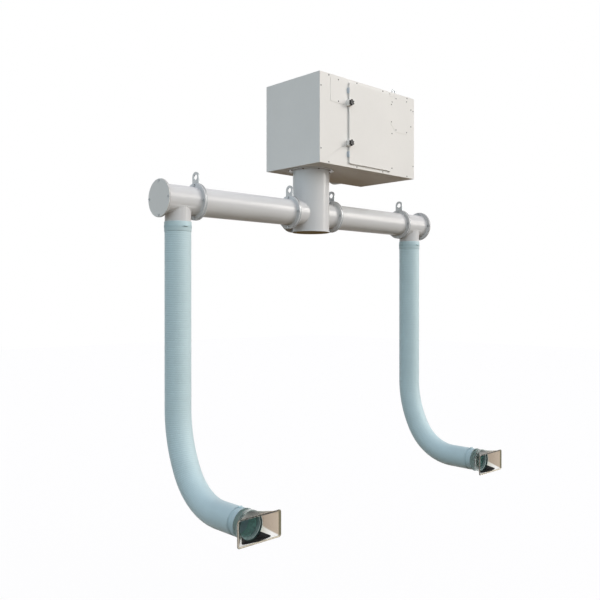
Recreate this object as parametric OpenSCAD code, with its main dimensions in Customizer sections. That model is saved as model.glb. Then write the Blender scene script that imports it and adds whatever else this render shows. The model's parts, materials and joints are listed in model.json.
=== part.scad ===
// Ceiling mounted fume extractor: a filter and fan cabinet over a column that feeds
// two ducts, each ending in a tee with a hanging ribbed hose and a rectangular hood.
// X runs along the ducts, the door faces -Y, Z is up. The origin is the centre of the
// hole in the roof eye that stands over the column.

/* [Cabinet] */
// Width of the cabinet, along the ducts
cabinet_w = 1031; // [1000:1:1100]
// Depth of the cabinet, front to back
cabinet_d = 543; // [530:1:600]
// Height of the cabinet
cabinet_h = 615; // [605:1:680]
// Thickness of the sheet metal of the cabinet and the ducts
sheet_t = 2; // [1.5:0.1:2.5]
// Distance from the cabinet's left side to the axis of the column
column_inset = 186; // [176:1:196]
// Width of the folded edge that stiffens each panel
return_w = 18; // [14:1:20]
// Distance from a panel's edge to its row of screws
screw_inset = 12; // [10:1:14]
// Diameter of a panel screw's head
screw_head_d = 9; // [7:0.5:11]
// Height of a panel screw's head
screw_head_h = 2.5; // [1.5:0.1:3.5]

/* [Door] */
// Distance from the cabinet's left side to the door
door_left = 283; // [276:1:290]
// Height of the door's lower edge over the cabinet's underside
door_bottom = 25; // [22:1:28]
// Distance from the cabinet's right side to the door
door_right = 302; // [296:1:310]
// Depth of the door's upper edge below the roof
door_top = 23; // [20:1:32]
// How far the door stands out of the front panel
door_proud = 12; // [11:0.5:16]
// Radius of the door's corners
door_corner_r = 14; // [8:1:20]
// How far the door laps over the edge of its opening
door_lap = 16; // [14:1:20]
// Width of the foam seal inside the door
seal_w = 9; // [7:0.5:10]
// Diameter of the hinge pins
hinge_pin_d = 4; // [3:0.5:4]
// Width of a hinge bracket
hinge_bracket_w = 16; // [12:1:20]

/* [Door clamps] */
// Outer diameter of the star knobs
knob_d = 45; // [40:1:50]
// Thickness of a star knob
knob_t = 15; // [12:1:18]
// Number of lobes on a star knob
knob_lobes = 6; // [5:1:7]
// Height of the lower clamp over the door's lower edge
clamp_low = 139; // [125:1:155]
// Depth of the upper clamp below the door's upper edge
clamp_high = 148; // [132:1:162]
// Width of a clamp ear
ear_w = 34; // [30:1:38]
// Height of a clamp ear
ear_h = 44; // [40:1:50]
// How far a clamp ear stands out of the front panel
ear_proud = 29; // [24:1:34]
// Diameter of the clamp stud
stud_d = 8; // [6:1:10]
// Height of an edge guide
guide_h = 38; // [30:1:44]

/* [Covers] */
// Width of the electrical cover plate
cover_w = 155; // [150:1:158]
// Height of the electrical cover plate
cover_h = 172; // [160:1:175]
// Gap between the electrical cover and the clamp ears
cover_gap = 4; // [2:1:8]
// Width across the octagonal fan access cover
access_w = 268; // [250:1:270]
// Depth of the access cover's centre below the roof
access_drop = 155; // [150:1:175]
// Thickness of both cover plates
cover_t = 1.5; // [1:0.1:2]

/* [Roof eyes] */
// Outer diameter of the ring of a roof eye
eye_d = 46; // [42:1:50]
// Diameter of the hole in a roof eye
eye_hole_d = 26; // [22:1:28]
// Thickness of the ring of a roof eye
eye_t = 10; // [8:0.5:12]
// Height of the hole's centre over the roof
eye_rise = 27; // [26:0.5:32]
// Distance of the right eyes from the cabinet's right side
eye_inset_x = 185; // [170:1:200]
// Distance of the right eyes from the cabinet's front and back
eye_inset_y = 50; // [40:1:60]

/* [Filters and fan] */
// Height of the filter cassettes over the cabinet's underside, and their depth below its roof
filter_rise = 53.5; // [50:0.5:60]
// Gap between the filter cassettes and the back panel
filter_back_gap = 17; // [10:1:25]
// Distance from the main filter cassette to the door's right side
filter_end_gap = 70; // [66:1:90]
// Thickness of the pre-filter cassette
pre_filter_t = 45; // [40:1:50]
// Distance from the cabinet's right side to the fan bulkhead
bulkhead_right = 267; // [261:1:275]
// Outer diameter of the impeller
impeller_d = 310; // [280:1:330]
// Width between the impeller's discs at the rim
impeller_w = 84; // [70:1:90]
// Diameter of the impeller's inlet
impeller_eye_d = 200; // [180:1:204]
// Number of blades on the impeller
blades = 9; // [7:1:11]
// Thickness of the impeller's blades and discs
blade_t = 2.5; // [2:0.1:3.5]
// Diameter of the fan motor
motor_d = 138; // [120:1:150]
// Length of the fan motor behind the impeller
motor_l = 70; // [60:1:74]

/* [Exhaust] */
// Outer diameter of the exhaust spigot
exhaust_d = 224; // [200:1:230]
// Length of the exhaust spigot behind the back panel
exhaust_l = 168; // [140:1:200]
// Height of the exhaust's axis over the cabinet's underside
exhaust_z = 134; // [132:1:150]

/* [Column] */
// Outer diameter of the column
column_d = 260; // [250:1:270]
// Length of the column below the cabinet
column_l = 441; // [430:1:460]
// Outer diameter of the column's top flange
column_flange_d = 320; // [312:1:330]
// Number of bolts in the column's top flange
column_bolts_n = 8; // [6:1:10]

/* [Ducts] */
// Depth of the duct's axis below the cabinet
duct_drop = 317; // [300:1:320]
// Outer diameter of the ducts
duct_d = 180; // [172:1:184]
// Outer diameter of the duct flanges
flange_d = 230; // [226:1:240]
// Thickness of one duct flange
flange_t = 8; // [6:0.5:10]
// Distance from the column's axis to the middle of an inner flange joint
inner_joint = 210; // [205:1:225]
// Distance from the column's axis to the outside of an end cap
duct_reach = 1274; // [1250:1:1300]
// Length of a tee, from the middle of the outer flange joint to the outside of its end cap
tee_l = 269; // [262:1:285]
// Distance from the outside of an end cap to the axis of the arm
arm_inset = 136; // [128:1:144]
// Diameter of the circle that a flange's bolts stand on
bolt_circle_d = 205; // [202:1:208]
// Diameter of the flange bolts
bolt_d = 8; // [6:1:10]

/* [Hanger lugs] */
// Thickness of a hanger plate
hanger_t = 8; // [6:0.5:10]
// Height of a lug's hole over the duct's axis
lug_hole_z = 153; // [150:1:160]
// Diameter of a lug's hole
lug_hole_d = 35; // [30:1:38]
// Width of a lug
lug_w = 66; // [60:1:72]

/* [Arms] */
// Depth of the hose's upper end below the duct's axis
hose_top_drop = 134; // [128:1:140]
// Length of the straight drop of the hose
hose_drop_l = 1134; // [1000:1:1300]
// Radius of the first, wide part of the bend
bend_wide_r = 750; // [650:1:850]
// Angle of the wide part of the bend, in degrees
bend_wide_a = 30; // [24:1:36]
// Radius of the second, tight part of the bend
bend_tight_r = 370; // [330:1:420]
// Straight length between the bend and the lower cuff
hose_tail_l = 162; // [160:1:200]
// Outer diameter of the hose over its ribs
hose_d = 162; // [158:1:166]
// Height of a rib over the hose's wall
rib_h = 3; // [2:0.5:4]
// Thickness of the hose's wall
hose_wall = 3; // [2:0.5:4]
// Distance from one rib to the next
rib_pitch = 22; // [21.5:0.5:28]
// Diameter of the spigots that carry the hoses
spigot_d = 159; // [156:1:160]
// Length of an upper cuff
cuff_l = 60; // [50:1:80]
// Thickness of a cuff's wall
cuff_wall = 3; // [2:0.5:4]
// Length of a lower cuff
end_cuff_l = 64; // [60:1:80]
// Width of a hose clip's band
clip_w = 13; // [10:1:16]
// Thickness of a hose clip's band
clip_t = 1.5; // [1:0.1:2]

/* [Hoods] */
// Width of the hood's mouth
hood_w = 307; // [290:1:330]
// Height of the hood's mouth
hood_h = 151; // [140:1:170]
// Length of the flared part of the hood
hood_flare_l = 113; // [100:1:130]
// Length of the hood's round collar
hood_collar_l = 44; // [38:1:48]
// Thickness of the hood's wall
hood_wall = 3; // [2:0.5:4]
// Width of the rim round the hood's mouth
hood_rim_w = 5; // [3:0.5:8]
// Radius of the mouth's corners
hood_corner_r = 12; // [8:1:20]

/* [Hidden] */

$fn = 64;

// Colours, as the object shows them
paint = [0.86, 0.86, 0.84];
steel = [0.66, 0.69, 0.69];
dark_steel = [0.42, 0.43, 0.44];
black = [0.05, 0.05, 0.05];
hose_colour = [0.56, 0.68, 0.69];
rubber = [0.16, 0.17, 0.17];
clear_brown = [0.70, 0.63, 0.54, 0.5];
filter_white = [0.90, 0.90, 0.86];

// One overrun for every cut
cut = 1;
// Running gap between pieces of different bodies
run_gap = 0.3;
// Clearance of a bolt or stud in its hole
bolt_gap = 0.5;

// Planes of the cabinet
roof_z = -eye_rise;
floor_z = roof_z - cabinet_h;
left_x = -column_inset;
right_x = left_x + cabinet_w;
front_y = -cabinet_d / 2;
back_y = cabinet_d / 2;
inner_front_y = front_y + sheet_t;
inner_back_y = back_y - sheet_t;
bulkhead_x = right_x - bulkhead_right;

// Door planes
door_x0 = left_x + door_left;
door_x1 = right_x - door_right;
door_w = door_x1 - door_x0;
door_z0 = floor_z + door_bottom;
door_z1 = roof_z - door_top;
door_h = door_z1 - door_z0;
door_front_y = front_y - door_proud;
door_rim_gap = 2;
seal_inset = 5;
hinge_side_gap = 0.3;
hinge_x = door_x1 - sheet_t - hinge_side_gap - hinge_pin_d / 2;
hinge_y = door_front_y + sheet_t + hinge_side_gap + hinge_pin_d / 2;
hinge_tab_t = 3;
hinge_tab_gap = 1.5;
hinge_leaf_t = 2;
hinge_leaf_h = 14;
hinge_pin_reach = door_corner_r;
pin_gap = 0.05;

// Clamps
clamp_zs = [door_z0 + clamp_low, door_z1 - clamp_high];
ear_lap = 14;
ear_corner_r = 12;
ear_x0 = door_x0 + ear_lap - ear_w;
stud_side_gap = 2;
stud_x = door_x0 - stud_d / 2 - bolt_gap - stud_side_gap;
stud_reach = 13;
socket_d = 16;
socket_l = 10;
knob_core_share = 0.66;
lobe_share = 0.30;
neck_share = 0.45;
neck_h = 3;
guide_w = 7;
guide_plate_w = 9;
guide_plate_t = 2;
guide_over_door = 5;
guide_side_gap = 1;
guide_low = 64;
guide_high = 59;
guide_zs = [door_z0 + guide_low, door_z1 - guide_high];

// Covers
cover_x0 = ear_x0 - cover_gap - cover_w;
cover_top_gap = 14;
cover_z1 = roof_z - cover_top_gap;
cover_z0 = cover_z1 - cover_h;
cover_corner_r = 12;
access_shift = 24;
access_x = (bulkhead_x + right_x) / 2 - access_shift;
access_z = roof_z - access_drop;
access_side_share = 0.52;
access_hole_share = 0.78;
access_screw_share = 0.436;
access_screw_side_share = 0.24;

// Panel screws
screw_side = 88;
screw_door_left = 90;
screw_door_right = 71;
screw_xs = [left_x + screw_side, door_x0 + screw_door_left, door_x1 - screw_door_right,
    right_x - screw_side];
screw_row_low = 96;
divider_screw_low = 52;
divider_screw_gap = 17;
divider_screw_zs = [floor_z + divider_screw_low, access_z - access_w / 2 - divider_screw_gap];
divider_top_rise = 84;

// Terminal box
box_d = 90;
box_margin = 10;
box_wall = 3;

// Filters
filter_gap = 15;
filter_z0 = floor_z + filter_rise;
filter_z1 = roof_z - filter_rise;
filter_h = filter_z1 - filter_z0;
filter_inset = 14;
filter_front_y = inner_front_y + filter_inset;
filter_d = inner_back_y - filter_back_gap - filter_front_y;
filter_side_gap = 8;
pre_x0 = door_x0 + door_lap + filter_side_gap;
pre_x1 = pre_x0 + pre_filter_t;
main_x0 = pre_x1 + filter_gap;
main_x1 = door_x1 - filter_end_gap;
main_filter_t = main_x1 - main_x0;
filter_frame_w = 20;
filter_face_inset = 8;
pleat_pitch = 40;
pleat_depth_share = 0.35;
track_t = 2;
track_lip = 10;
filter_seat_gap = 0.3;
handle_w = 90;
handle_h = 8;
handle_t = 14;

// Fan, whose axis lies along X at the middle of the bulkhead
fan_y = 0;
fan_z = floor_z + cabinet_h / 2;
cone_wall = 1.5;
cone_overlap = 6;
cone_gap = 3;
cone_throat_r = impeller_eye_d / 2 - cone_gap - cone_wall;
cone_l = 34;
cone_round_r = 22;
cone_lip_r = cone_throat_r + cone_round_r;
cone_lip_w = 12;
cone_steps = 8;
shroud_x = bulkhead_x + sheet_t + cone_l - cone_overlap;
shroud_rise = 14;
backplate_x = shroud_x + shroud_rise + impeller_w;
boss_d = 44;
boss_l = 16;
motor_gap = 4;
motor_x0 = backplate_x + blade_t + motor_gap;
shaft_d = 16;
shaft_gap = 0.05;
motor_ribs = 12;
motor_rib_h = 5;
motor_rib_t = 4;
bracket_t = 4;
bracket_w = 44;
rod_d = 14;
rod_gap = 9;
rod_circle_r = impeller_d / 2 + rod_gap + rod_d / 2;
blade_in_r = impeller_eye_d / 2 - 6;
blade_out_r = impeller_d / 2 - blade_t;
blade_sweep = 42;
blade_steps = 7;

// Exhaust
exhaust_shift = 12;
exhaust_x = (bulkhead_x + right_x) / 2 - exhaust_shift;
exhaust_cz = floor_z + exhaust_z;
exhaust_flange_w = 12;
exhaust_gap = 0.2;

// Column
duct_z = floor_z - duct_drop;
column_z0 = floor_z - column_l;
column_flange_t = 8;
column_bolt_r = (column_d + column_flange_d) / 4;
cap_lip = 4;
cap_t = 5;
cap_spigot_l = 20;
cap_gap = 0.2;

// Ducts and flange joints: flange, hanger plate, flange
outer_joint = duct_reach - tee_l;
arm_reach = duct_reach - arm_inset;
joint_half = flange_t + hanger_t / 2;
blank_t = 5;
cap_plate_t = 5;
tee_x1 = duct_reach - cap_plate_t;
head_share = 1.62;
head_h_share = 0.65;
nut_h_share = 0.8;

// Arms
hose_top_z = duct_z - hose_top_drop;
spigot_end_gap = 4;
spigot_z0 = hose_top_z - cuff_l + spigot_end_gap;
cuff_gap = 0.3;
cuff_in_r = spigot_d / 2 + cuff_gap;
cuff_out_r = cuff_in_r + cuff_wall;
hose_out_r = hose_d / 2;
hose_valley_r = hose_out_r - rib_h;
hose_in_r = hose_valley_r - hose_wall;
bend_tight_a = 90 - bend_wide_a;
wide_l = PI * bend_wide_r * bend_wide_a / 180;
tight_l = PI * bend_tight_r * bend_tight_a / 180;
hose_l = hose_drop_l + wide_l + tight_l + hose_tail_l;
hose_sides = 8;
bend_y = -bend_wide_r * (1 - cos(bend_wide_a)) - bend_tight_r * cos(bend_wide_a);
bend_z = hose_top_z - hose_drop_l - bend_wide_r * sin(bend_wide_a)
    + bend_tight_r * sin(bend_wide_a) - bend_tight_r;
hose_end_y = bend_y - hose_tail_l;
end_cuff_step = 1.5;
end_cuff_out_r = hose_out_r - end_cuff_step;
hood_in_r = end_cuff_out_r + run_gap;
hood_out_r = hood_in_r + hood_wall;
collar_start = 25;
hood_collar_y = hose_end_y - collar_start;
collar_bead_h = 2;
collar_bead_w = 4;
clip_screw_w = 26;
clip_screw_d = 12;
clip_seat = 0.1;
flare_sides = 32;
flare_step = 0.2;
slice_t = 0.5;

// Helper shapes

module along_x() { rotate([0, 90, 0]) children(); }
module along_y() { rotate([-90, 0, 0]) children(); }

// Ring between two radii, standing on the XY plane
module ring(outer_r, inner_r, h) {
    difference() {
        cylinder(r = outer_r, h = h);
        translate([0, 0, -cut]) cylinder(r = inner_r, h = h + 2 * cut);
    }
}

// Rectangle with round corners, its lower left corner at the origin
module round_rect(w, h, r) {
    translate([r, 0]) square([w - 2 * r, h]);
    translate([0, r]) square([w, h - 2 * r]);
    for (x = [r, w - r], y = [r, h - r]) translate([x, y]) circle(r = r, $fn = 32);
}

// A flat outline drawn in X and Z, given a thickness towards +Y from the plane y
module upright(y, t) {
    translate([0, y + t, 0]) rotate([90, 0, 0]) linear_extrude(t) children();
}

// Octagon of a given width whose straight sides are a share of that width
module octagon(w, side_share) {
    a = w / 2;
    b = w * side_share / 2;
    polygon([[-b, -a], [b, -a], [a, -b], [a, b], [b, a], [-b, a], [-a, b], [-a, -b]]);
}

// Hexagon bolt along +Z: its head below zero, its nut past the grip
module bolt(d, grip) {
    head_r = d * head_share / 2 / cos(30);
    translate([0, 0, -d * head_h_share]) cylinder(r = head_r, h = d * head_h_share, $fn = 6);
    cylinder(d = d, h = grip, $fn = 24);
    translate([0, 0, grip]) cylinder(r = head_r, h = d * nut_h_share, $fn = 6);
}

// Four bolt holes on the flange circle, along +Z from zero
module flange_holes(h) {
    for (a = [0:90:270]) rotate(a) translate([bolt_circle_d / 2, 0, -cut])
        cylinder(d = bolt_d + 2 * bolt_gap, h = h + 2 * cut, $fn = 24);
}

// Cabinet

module base_panel() color(paint) difference() {
    union() {
        translate([left_x + sheet_t, inner_front_y, floor_z])
            cube([cabinet_w - 2 * sheet_t, cabinet_d - 2 * sheet_t, sheet_t]);
        for (y = [inner_front_y, inner_back_y - sheet_t])
            translate([left_x + sheet_t, y, floor_z])
                cube([cabinet_w - 2 * sheet_t, sheet_t, return_w]);
    }
    translate([0, 0, floor_z - cut])
        cylinder(r = column_d / 2 - sheet_t, h = sheet_t + 2 * cut);
    for (a = [0:360 / column_bolts_n:359]) rotate(a + 180 / column_bolts_n)
        translate([column_bolt_r, 0, floor_z - cut])
            cylinder(d = bolt_d + 2 * bolt_gap, h = sheet_t + 2 * cut, $fn = 24);
}

module roof_panel() color(paint) {
    translate([left_x + sheet_t, inner_front_y, roof_z - sheet_t])
        cube([cabinet_w - 2 * sheet_t, cabinet_d - 2 * sheet_t, sheet_t]);
    for (y = [inner_front_y, inner_back_y - sheet_t])
        translate([left_x + sheet_t, y, roof_z - return_w])
            cube([cabinet_w - 2 * sheet_t, sheet_t, return_w]);
}

module side_panel(x) translate([x, inner_front_y, floor_z])
    cube([sheet_t, cabinet_d - 2 * sheet_t, cabinet_h]);

module left_panel() color(paint) side_panel(left_x);
module right_panel() color(paint) side_panel(right_x - sheet_t);

module back_panel() color(paint) difference() {
    translate([left_x, inner_back_y, floor_z]) cube([cabinet_w, sheet_t, cabinet_h]);
    translate([exhaust_x, inner_back_y - cut, exhaust_cz])
        along_y() cylinder(r = exhaust_d / 2 - sheet_t + exhaust_gap, h = sheet_t + 2 * cut);
}

module front_panel() color(paint) difference() {
    translate([left_x, front_y, floor_z]) cube([cabinet_w, sheet_t, cabinet_h]);
    upright(front_y - cut, sheet_t + 2 * cut)
        translate([door_x0 + door_lap, door_z0 + door_lap])
            round_rect(door_w - 2 * door_lap, door_h - 2 * door_lap, door_corner_r);
    upright(front_y - cut, sheet_t + 2 * cut)
        translate([cover_x0 + box_margin + box_wall, cover_z0 + box_margin + box_wall])
            square([cover_w - 2 * (box_margin + box_wall),
                    cover_h - 2 * (box_margin + box_wall)]);
    upright(front_y - cut, sheet_t + 2 * cut)
        translate([access_x, access_z])
            octagon(access_w * access_hole_share, access_side_share);
    for (z = clamp_zs) translate([stud_x, front_y - cut, z])
        along_y() cylinder(d = stud_d + 2 * bolt_gap, h = sheet_t + 2 * cut, $fn = 24);
}

// Places of the screws on the front, as X and Z
function front_screws() = concat(
    [for (x = screw_xs, z = [floor_z + screw_inset, roof_z - screw_inset]) [x, z]],
    [for (x = [left_x + screw_inset, right_x - screw_inset],
          z = [floor_z + screw_row_low, roof_z - screw_row_low]) [x, z]],
    [for (z = divider_screw_zs) [bulkhead_x, z]]);

module screw_head(x, y, z) {
    translate([x, y, z]) rotate([90, 0, 0]) {
        cylinder(d = screw_head_d, h = screw_head_h / 2, $fn = 24);
        translate([0, 0, screw_head_h / 2])
            cylinder(d1 = screw_head_d, d2 = screw_head_d / 2, h = screw_head_h / 2, $fn = 24);
    }
}

module panel_screws() color(dark_steel) {
    for (p = front_screws()) screw_head(p[0], front_y, p[1]);
    for (z = [cover_z0 + screw_inset, cover_z1 - screw_inset])
        screw_head(cover_x0 + cover_w / 2, front_y - cover_t, z);
    r = access_w * access_screw_share;
    s = access_w * access_screw_side_share;
    for (p = [[r, s], [s, r]], i = [-1, 1], j = [-1, 1])
        screw_head(access_x + i * p[0], front_y - cover_t, access_z + j * p[1]);
    screw_head(bulkhead_x, front_y - cover_t, access_z + divider_top_rise);
}

module electrical_cover() color(paint)
    upright(front_y - cover_t, cover_t)
        translate([cover_x0, cover_z0]) round_rect(cover_w, cover_h, cover_corner_r);

module terminal_box() color(dark_steel) difference() {
    translate([cover_x0 + box_margin, inner_front_y, cover_z0 + box_margin])
        cube([cover_w - 2 * box_margin, box_d, cover_h - 2 * box_margin]);
    translate([cover_x0 + box_margin + box_wall, inner_front_y - cut,
               cover_z0 + box_margin + box_wall])
        cube([cover_w - 2 * (box_margin + box_wall), box_d - box_wall + cut,
              cover_h - 2 * (box_margin + box_wall)]);
}

module fan_access_cover() color(paint)
    upright(front_y - cover_t, cover_t)
        translate([access_x, access_z]) octagon(access_w, access_side_share);

// Door and its fittings

// Clamp ear: a block that laps over the door's edge and stands just off the front panel
module clamp_ear(z) {
    difference() {
        upright(front_y - ear_proud, ear_proud - door_rim_gap)
            translate([ear_x0, z - ear_h / 2]) round_rect(ear_w, ear_h, ear_corner_r);
        translate([stud_x, front_y - ear_proud - cut, z])
            along_y() cylinder(d = stud_d + 2 * bolt_gap, h = ear_proud + 2 * cut, $fn = 24);
    }
}

module door_panel() color(paint) {
    difference() {
        upright(door_front_y, door_proud - door_rim_gap)
            translate([door_x0, door_z0]) round_rect(door_w, door_h, door_corner_r);
        upright(door_front_y + sheet_t, door_proud)
            translate([door_x0 + sheet_t, door_z0 + sheet_t])
                round_rect(door_w - 2 * sheet_t, door_h - 2 * sheet_t, door_corner_r - sheet_t);
        for (z = clamp_zs) translate([stud_x, front_y - ear_proud, z])
            along_y() cylinder(d = stud_d + 2 * bolt_gap, h = ear_proud, $fn = 24);
        for (z = [door_z0 - cut, door_z1 - hinge_pin_reach - cut])
            translate([hinge_x, hinge_y, z])
                cylinder(r = hinge_pin_d / 2 + pin_gap, h = hinge_pin_reach + 2 * cut, $fn = 32);
    }
    for (z = clamp_zs) difference() {
        clamp_ear(z);
        upright(door_front_y + sheet_t, door_proud)
            translate([door_x0 + sheet_t, z - ear_h])
                square([ear_w, 2 * ear_h]);
    }
}

module door_seal() color(rubber) {
    seal_y = door_front_y + sheet_t;
    near = sheet_t + seal_inset;
    far = near + seal_w;
    upright(seal_y, front_y - run_gap - seal_y) difference() {
        translate([door_x0 + near, door_z0 + near])
            round_rect(door_w - 2 * near, door_h - 2 * near, door_corner_r - sheet_t);
        translate([door_x0 + far, door_z0 + far]) square([door_w - 2 * far, door_h - 2 * far]);
    }
}

// Hinge bracket over or under the door: a leaf on the front panel, a tab, and the pin
// that stands in the hole of the door's round corner
module hinge_bracket(z, dir) {
    tab_z = dir > 0 ? z + hinge_tab_gap : z - hinge_tab_gap - hinge_tab_t;
    leaf_z = dir > 0 ? tab_z : tab_z + hinge_tab_t - hinge_leaf_h;
    pin_z = dir > 0 ? z - hinge_pin_reach : tab_z;
    w = hinge_bracket_w / 2;
    intersection() {
        translate([hinge_x, hinge_y, tab_z]) cylinder(r = w, h = hinge_tab_t);
        translate([hinge_x - w, hinge_y - w, tab_z - cut])
            cube([2 * w, w, hinge_tab_t + 2 * cut]);
    }
    translate([hinge_x - w, hinge_y, tab_z])
        cube([hinge_bracket_w, front_y - hinge_y, hinge_tab_t]);
    translate([hinge_x - w, front_y - hinge_leaf_t, leaf_z])
        cube([hinge_bracket_w, hinge_leaf_t, hinge_leaf_h]);
    translate([hinge_x, hinge_y, pin_z])
        cylinder(d = hinge_pin_d, h = hinge_tab_t + hinge_tab_gap + hinge_pin_reach, $fn = 32);
}

module hinge_brackets() color(paint) {
    hinge_bracket(door_z1, 1);
    hinge_bracket(door_z0, -1);
}

// Star knob with its neck and stud; the stud reaches through the ear into the socket
module star_knob(z) color(black) {
    core_r = knob_d / 2 * knob_core_share;
    lobe_r = knob_d / 2 * lobe_share;
    translate([stud_x, front_y - ear_proud - neck_h, z]) rotate([90, 0, 0]) {
        linear_extrude(knob_t) {
            circle(r = core_r);
            for (i = [0:knob_lobes - 1]) rotate(90 + i * 360 / knob_lobes)
                translate([knob_d / 2 - lobe_r, 0]) circle(r = lobe_r, $fn = 24);
        }
        translate([0, 0, -neck_h + run_gap])
            cylinder(r = knob_d / 2 * neck_share, h = neck_h - run_gap);
        translate([0, 0, -neck_h - ear_proud - stud_reach])
            cylinder(d = stud_d, h = neck_h + ear_proud + stud_reach + knob_t / 2, $fn = 32);
    }
}

module star_knob_lower() star_knob(clamp_zs[0]);
module star_knob_upper() star_knob(clamp_zs[1]);

// Threaded sockets behind the front panel
module clamp_sockets() color(steel)
    for (z = clamp_zs) translate([stud_x, inner_front_y, z]) along_y() difference() {
        cylinder(d = socket_d, h = socket_l + stud_reach);
        translate([0, 0, -cut])
            cylinder(r = stud_d / 2 + pin_gap, h = socket_l / 2 + stud_reach + cut, $fn = 32);
    }

// Edge guides: a small plate on the front panel and a half round rail beside the door
module edge_guides() color(paint)
    for (z = guide_zs) {
        rail_x = door_x0 - guide_side_gap - guide_w / 2;
        translate([rail_x - guide_plate_w, front_y - guide_plate_t, z - guide_h / 2])
            cube([guide_plate_w, guide_plate_t, guide_h]);
        translate([rail_x, front_y - door_proud - guide_over_door + guide_w / 2, z - guide_h / 2])
            cylinder(r = guide_w / 2, h = guide_h, $fn = 32);
        translate([rail_x - guide_w / 2,
                   front_y - door_proud - guide_over_door + guide_w / 2, z - guide_h / 2])
            cube([guide_w, door_proud + guide_over_door - guide_w / 2, guide_h]);
    }

// Roof eyes

// A ring with a straight land in its hole, on a short neck and a round foot
module roof_eye(x, y) {
    land = eye_t / 2;
    hole_r = eye_hole_d / 2;
    ring_r = eye_d / 2;
    foot_d = eye_t * 2.2;
    foot_h = eye_rise / 6;
    translate([x, y, 0]) difference() {
        union() {
            along_y() rotate_extrude() polygon([
                [hole_r, -land / 2], [hole_r + land / 2, -eye_t / 2],
                [ring_r - land / 2, -eye_t / 2], [ring_r, -land / 2],
                [ring_r, land / 2], [ring_r - land / 2, eye_t / 2],
                [hole_r + land / 2, eye_t / 2], [hole_r, land / 2]]);
            translate([0, 0, -eye_rise]) cylinder(d = foot_d, h = foot_h);
            translate([0, 0, -eye_rise]) cylinder(d = eye_t, h = eye_rise - hole_r - land / 2);
        }
        along_y() translate([0, 0, -eye_t]) cylinder(r = hole_r, h = 2 * eye_t);
    }
}

module roof_eyes() color(steel) {
    roof_eye(0, 0);
    for (y = [front_y + eye_inset_y, back_y - eye_inset_y]) roof_eye(right_x - eye_inset_x, y);
}

// Filters

// Folded channel that carries both cassettes; edge_z is the face that the cassettes meet
module filter_track(edge_z, wall_z, lip_dir) {
    x0 = pre_x0 - track_lip;
    x1 = main_x1 + track_lip;
    y0 = filter_front_y;
    h = abs(edge_z - wall_z);
    zlow = min(edge_z, wall_z);
    plate_z = lip_dir > 0 ? edge_z - track_t : edge_z;
    lip_z = lip_dir > 0 ? edge_z - cut : edge_z - track_lip;
    translate([x0, y0, plate_z]) cube([x1 - x0, filter_d, track_t]);
    for (x = [x0, x1 - track_t]) translate([x, y0, zlow]) cube([track_t, filter_d, h]);
    for (x = [x0, pre_x1 + (filter_gap - track_t) / 2, x1 - track_t])
        translate([x, y0, lip_z]) cube([track_t, filter_d, track_lip + cut]);
}

module filter_track_lower() color(steel)
    filter_track(filter_z0, floor_z + sheet_t, 1);
module filter_track_upper() color(steel)
    filter_track(filter_z1 + filter_seat_gap, roof_z - sheet_t, -1);

// Cassette: a frame with a pleated pack let into both faces, and a pull on its front
module cassette(x0, t) {
    inner = filter_d - 2 * filter_frame_w;
    n = max(2, floor(inner / pleat_pitch));
    p = inner / n;
    deep = min(t * pleat_depth_share, p);
    translate([x0, filter_front_y, filter_z0]) difference() {
        cube([t, filter_d, filter_h]);
        for (side = [0, 1]) translate([side * t, filter_frame_w, filter_frame_w])
            mirror([side, 0, 0]) linear_extrude(filter_h - 2 * filter_frame_w)
                polygon(concat([[-cut, 0]],
                    [for (i = [0:n - 1]) each [[filter_face_inset, i * p],
                                               [filter_face_inset + deep, (i + 0.5) * p]]],
                    [[filter_face_inset, inner], [-cut, inner]]));
    }
}

module pre_filter() color(filter_white) cassette(pre_x0, pre_filter_t);
module main_filter() color(filter_white) {
    cassette(main_x0, main_filter_t);
    translate([main_x0 + (main_filter_t - handle_w) / 2, filter_front_y - handle_h,
               (filter_z0 + filter_z1) / 2 - handle_t / 2])
        cube([handle_w, handle_h, handle_t]);
}

// Fan

module fan_bulkhead() color(steel) difference() {
    translate([bulkhead_x, inner_front_y, floor_z + sheet_t])
        cube([sheet_t, cabinet_d - 2 * sheet_t, cabinet_h - 2 * sheet_t]);
    translate([bulkhead_x - cut, fan_y, fan_z])
        along_x() cylinder(r = cone_lip_r, h = sheet_t + 2 * cut);
    for (y = [inner_front_y - cut, inner_back_y - sheet_t], z = [floor_z, roof_z - return_w])
        translate([bulkhead_x - cut, y, z]) cube([sheet_t + 2 * cut, sheet_t + cut, return_w]);
}

// Bell shaped inlet: a flat lip, a quarter round and a throat that enters the impeller
module inlet_cone() color(dark_steel)
    translate([bulkhead_x + sheet_t, fan_y, fan_z]) along_x() rotate_extrude() {
        arc_r = cone_round_r - cone_wall;
        polygon(concat(
            [[cone_lip_r + cone_lip_w, 0]],
            [for (i = [0:cone_steps]) let (a = 90 * i / cone_steps)
                [cone_lip_r - cone_round_r * sin(a), cone_round_r * (1 - cos(a))]],
            [[cone_throat_r, cone_l], [cone_throat_r + cone_wall, cone_l]],
            [for (i = [cone_steps:-1:0]) let (a = 90 * i / cone_steps)
                [cone_lip_r - arc_r * sin(a), cone_round_r - arc_r * cos(a)]],
            [[cone_lip_r + cone_lip_w, cone_wall]]));
    }

// Backward curved blade outline: its angle falls back as the radius grows
function blade_at(share, side) = let (
        r = blade_in_r + share * (blade_out_r - blade_in_r),
        a = -blade_sweep * pow(share, 0.8) + side * blade_t / 2 / r * 180 / PI)
    [r * cos(a), r * sin(a)];

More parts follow.
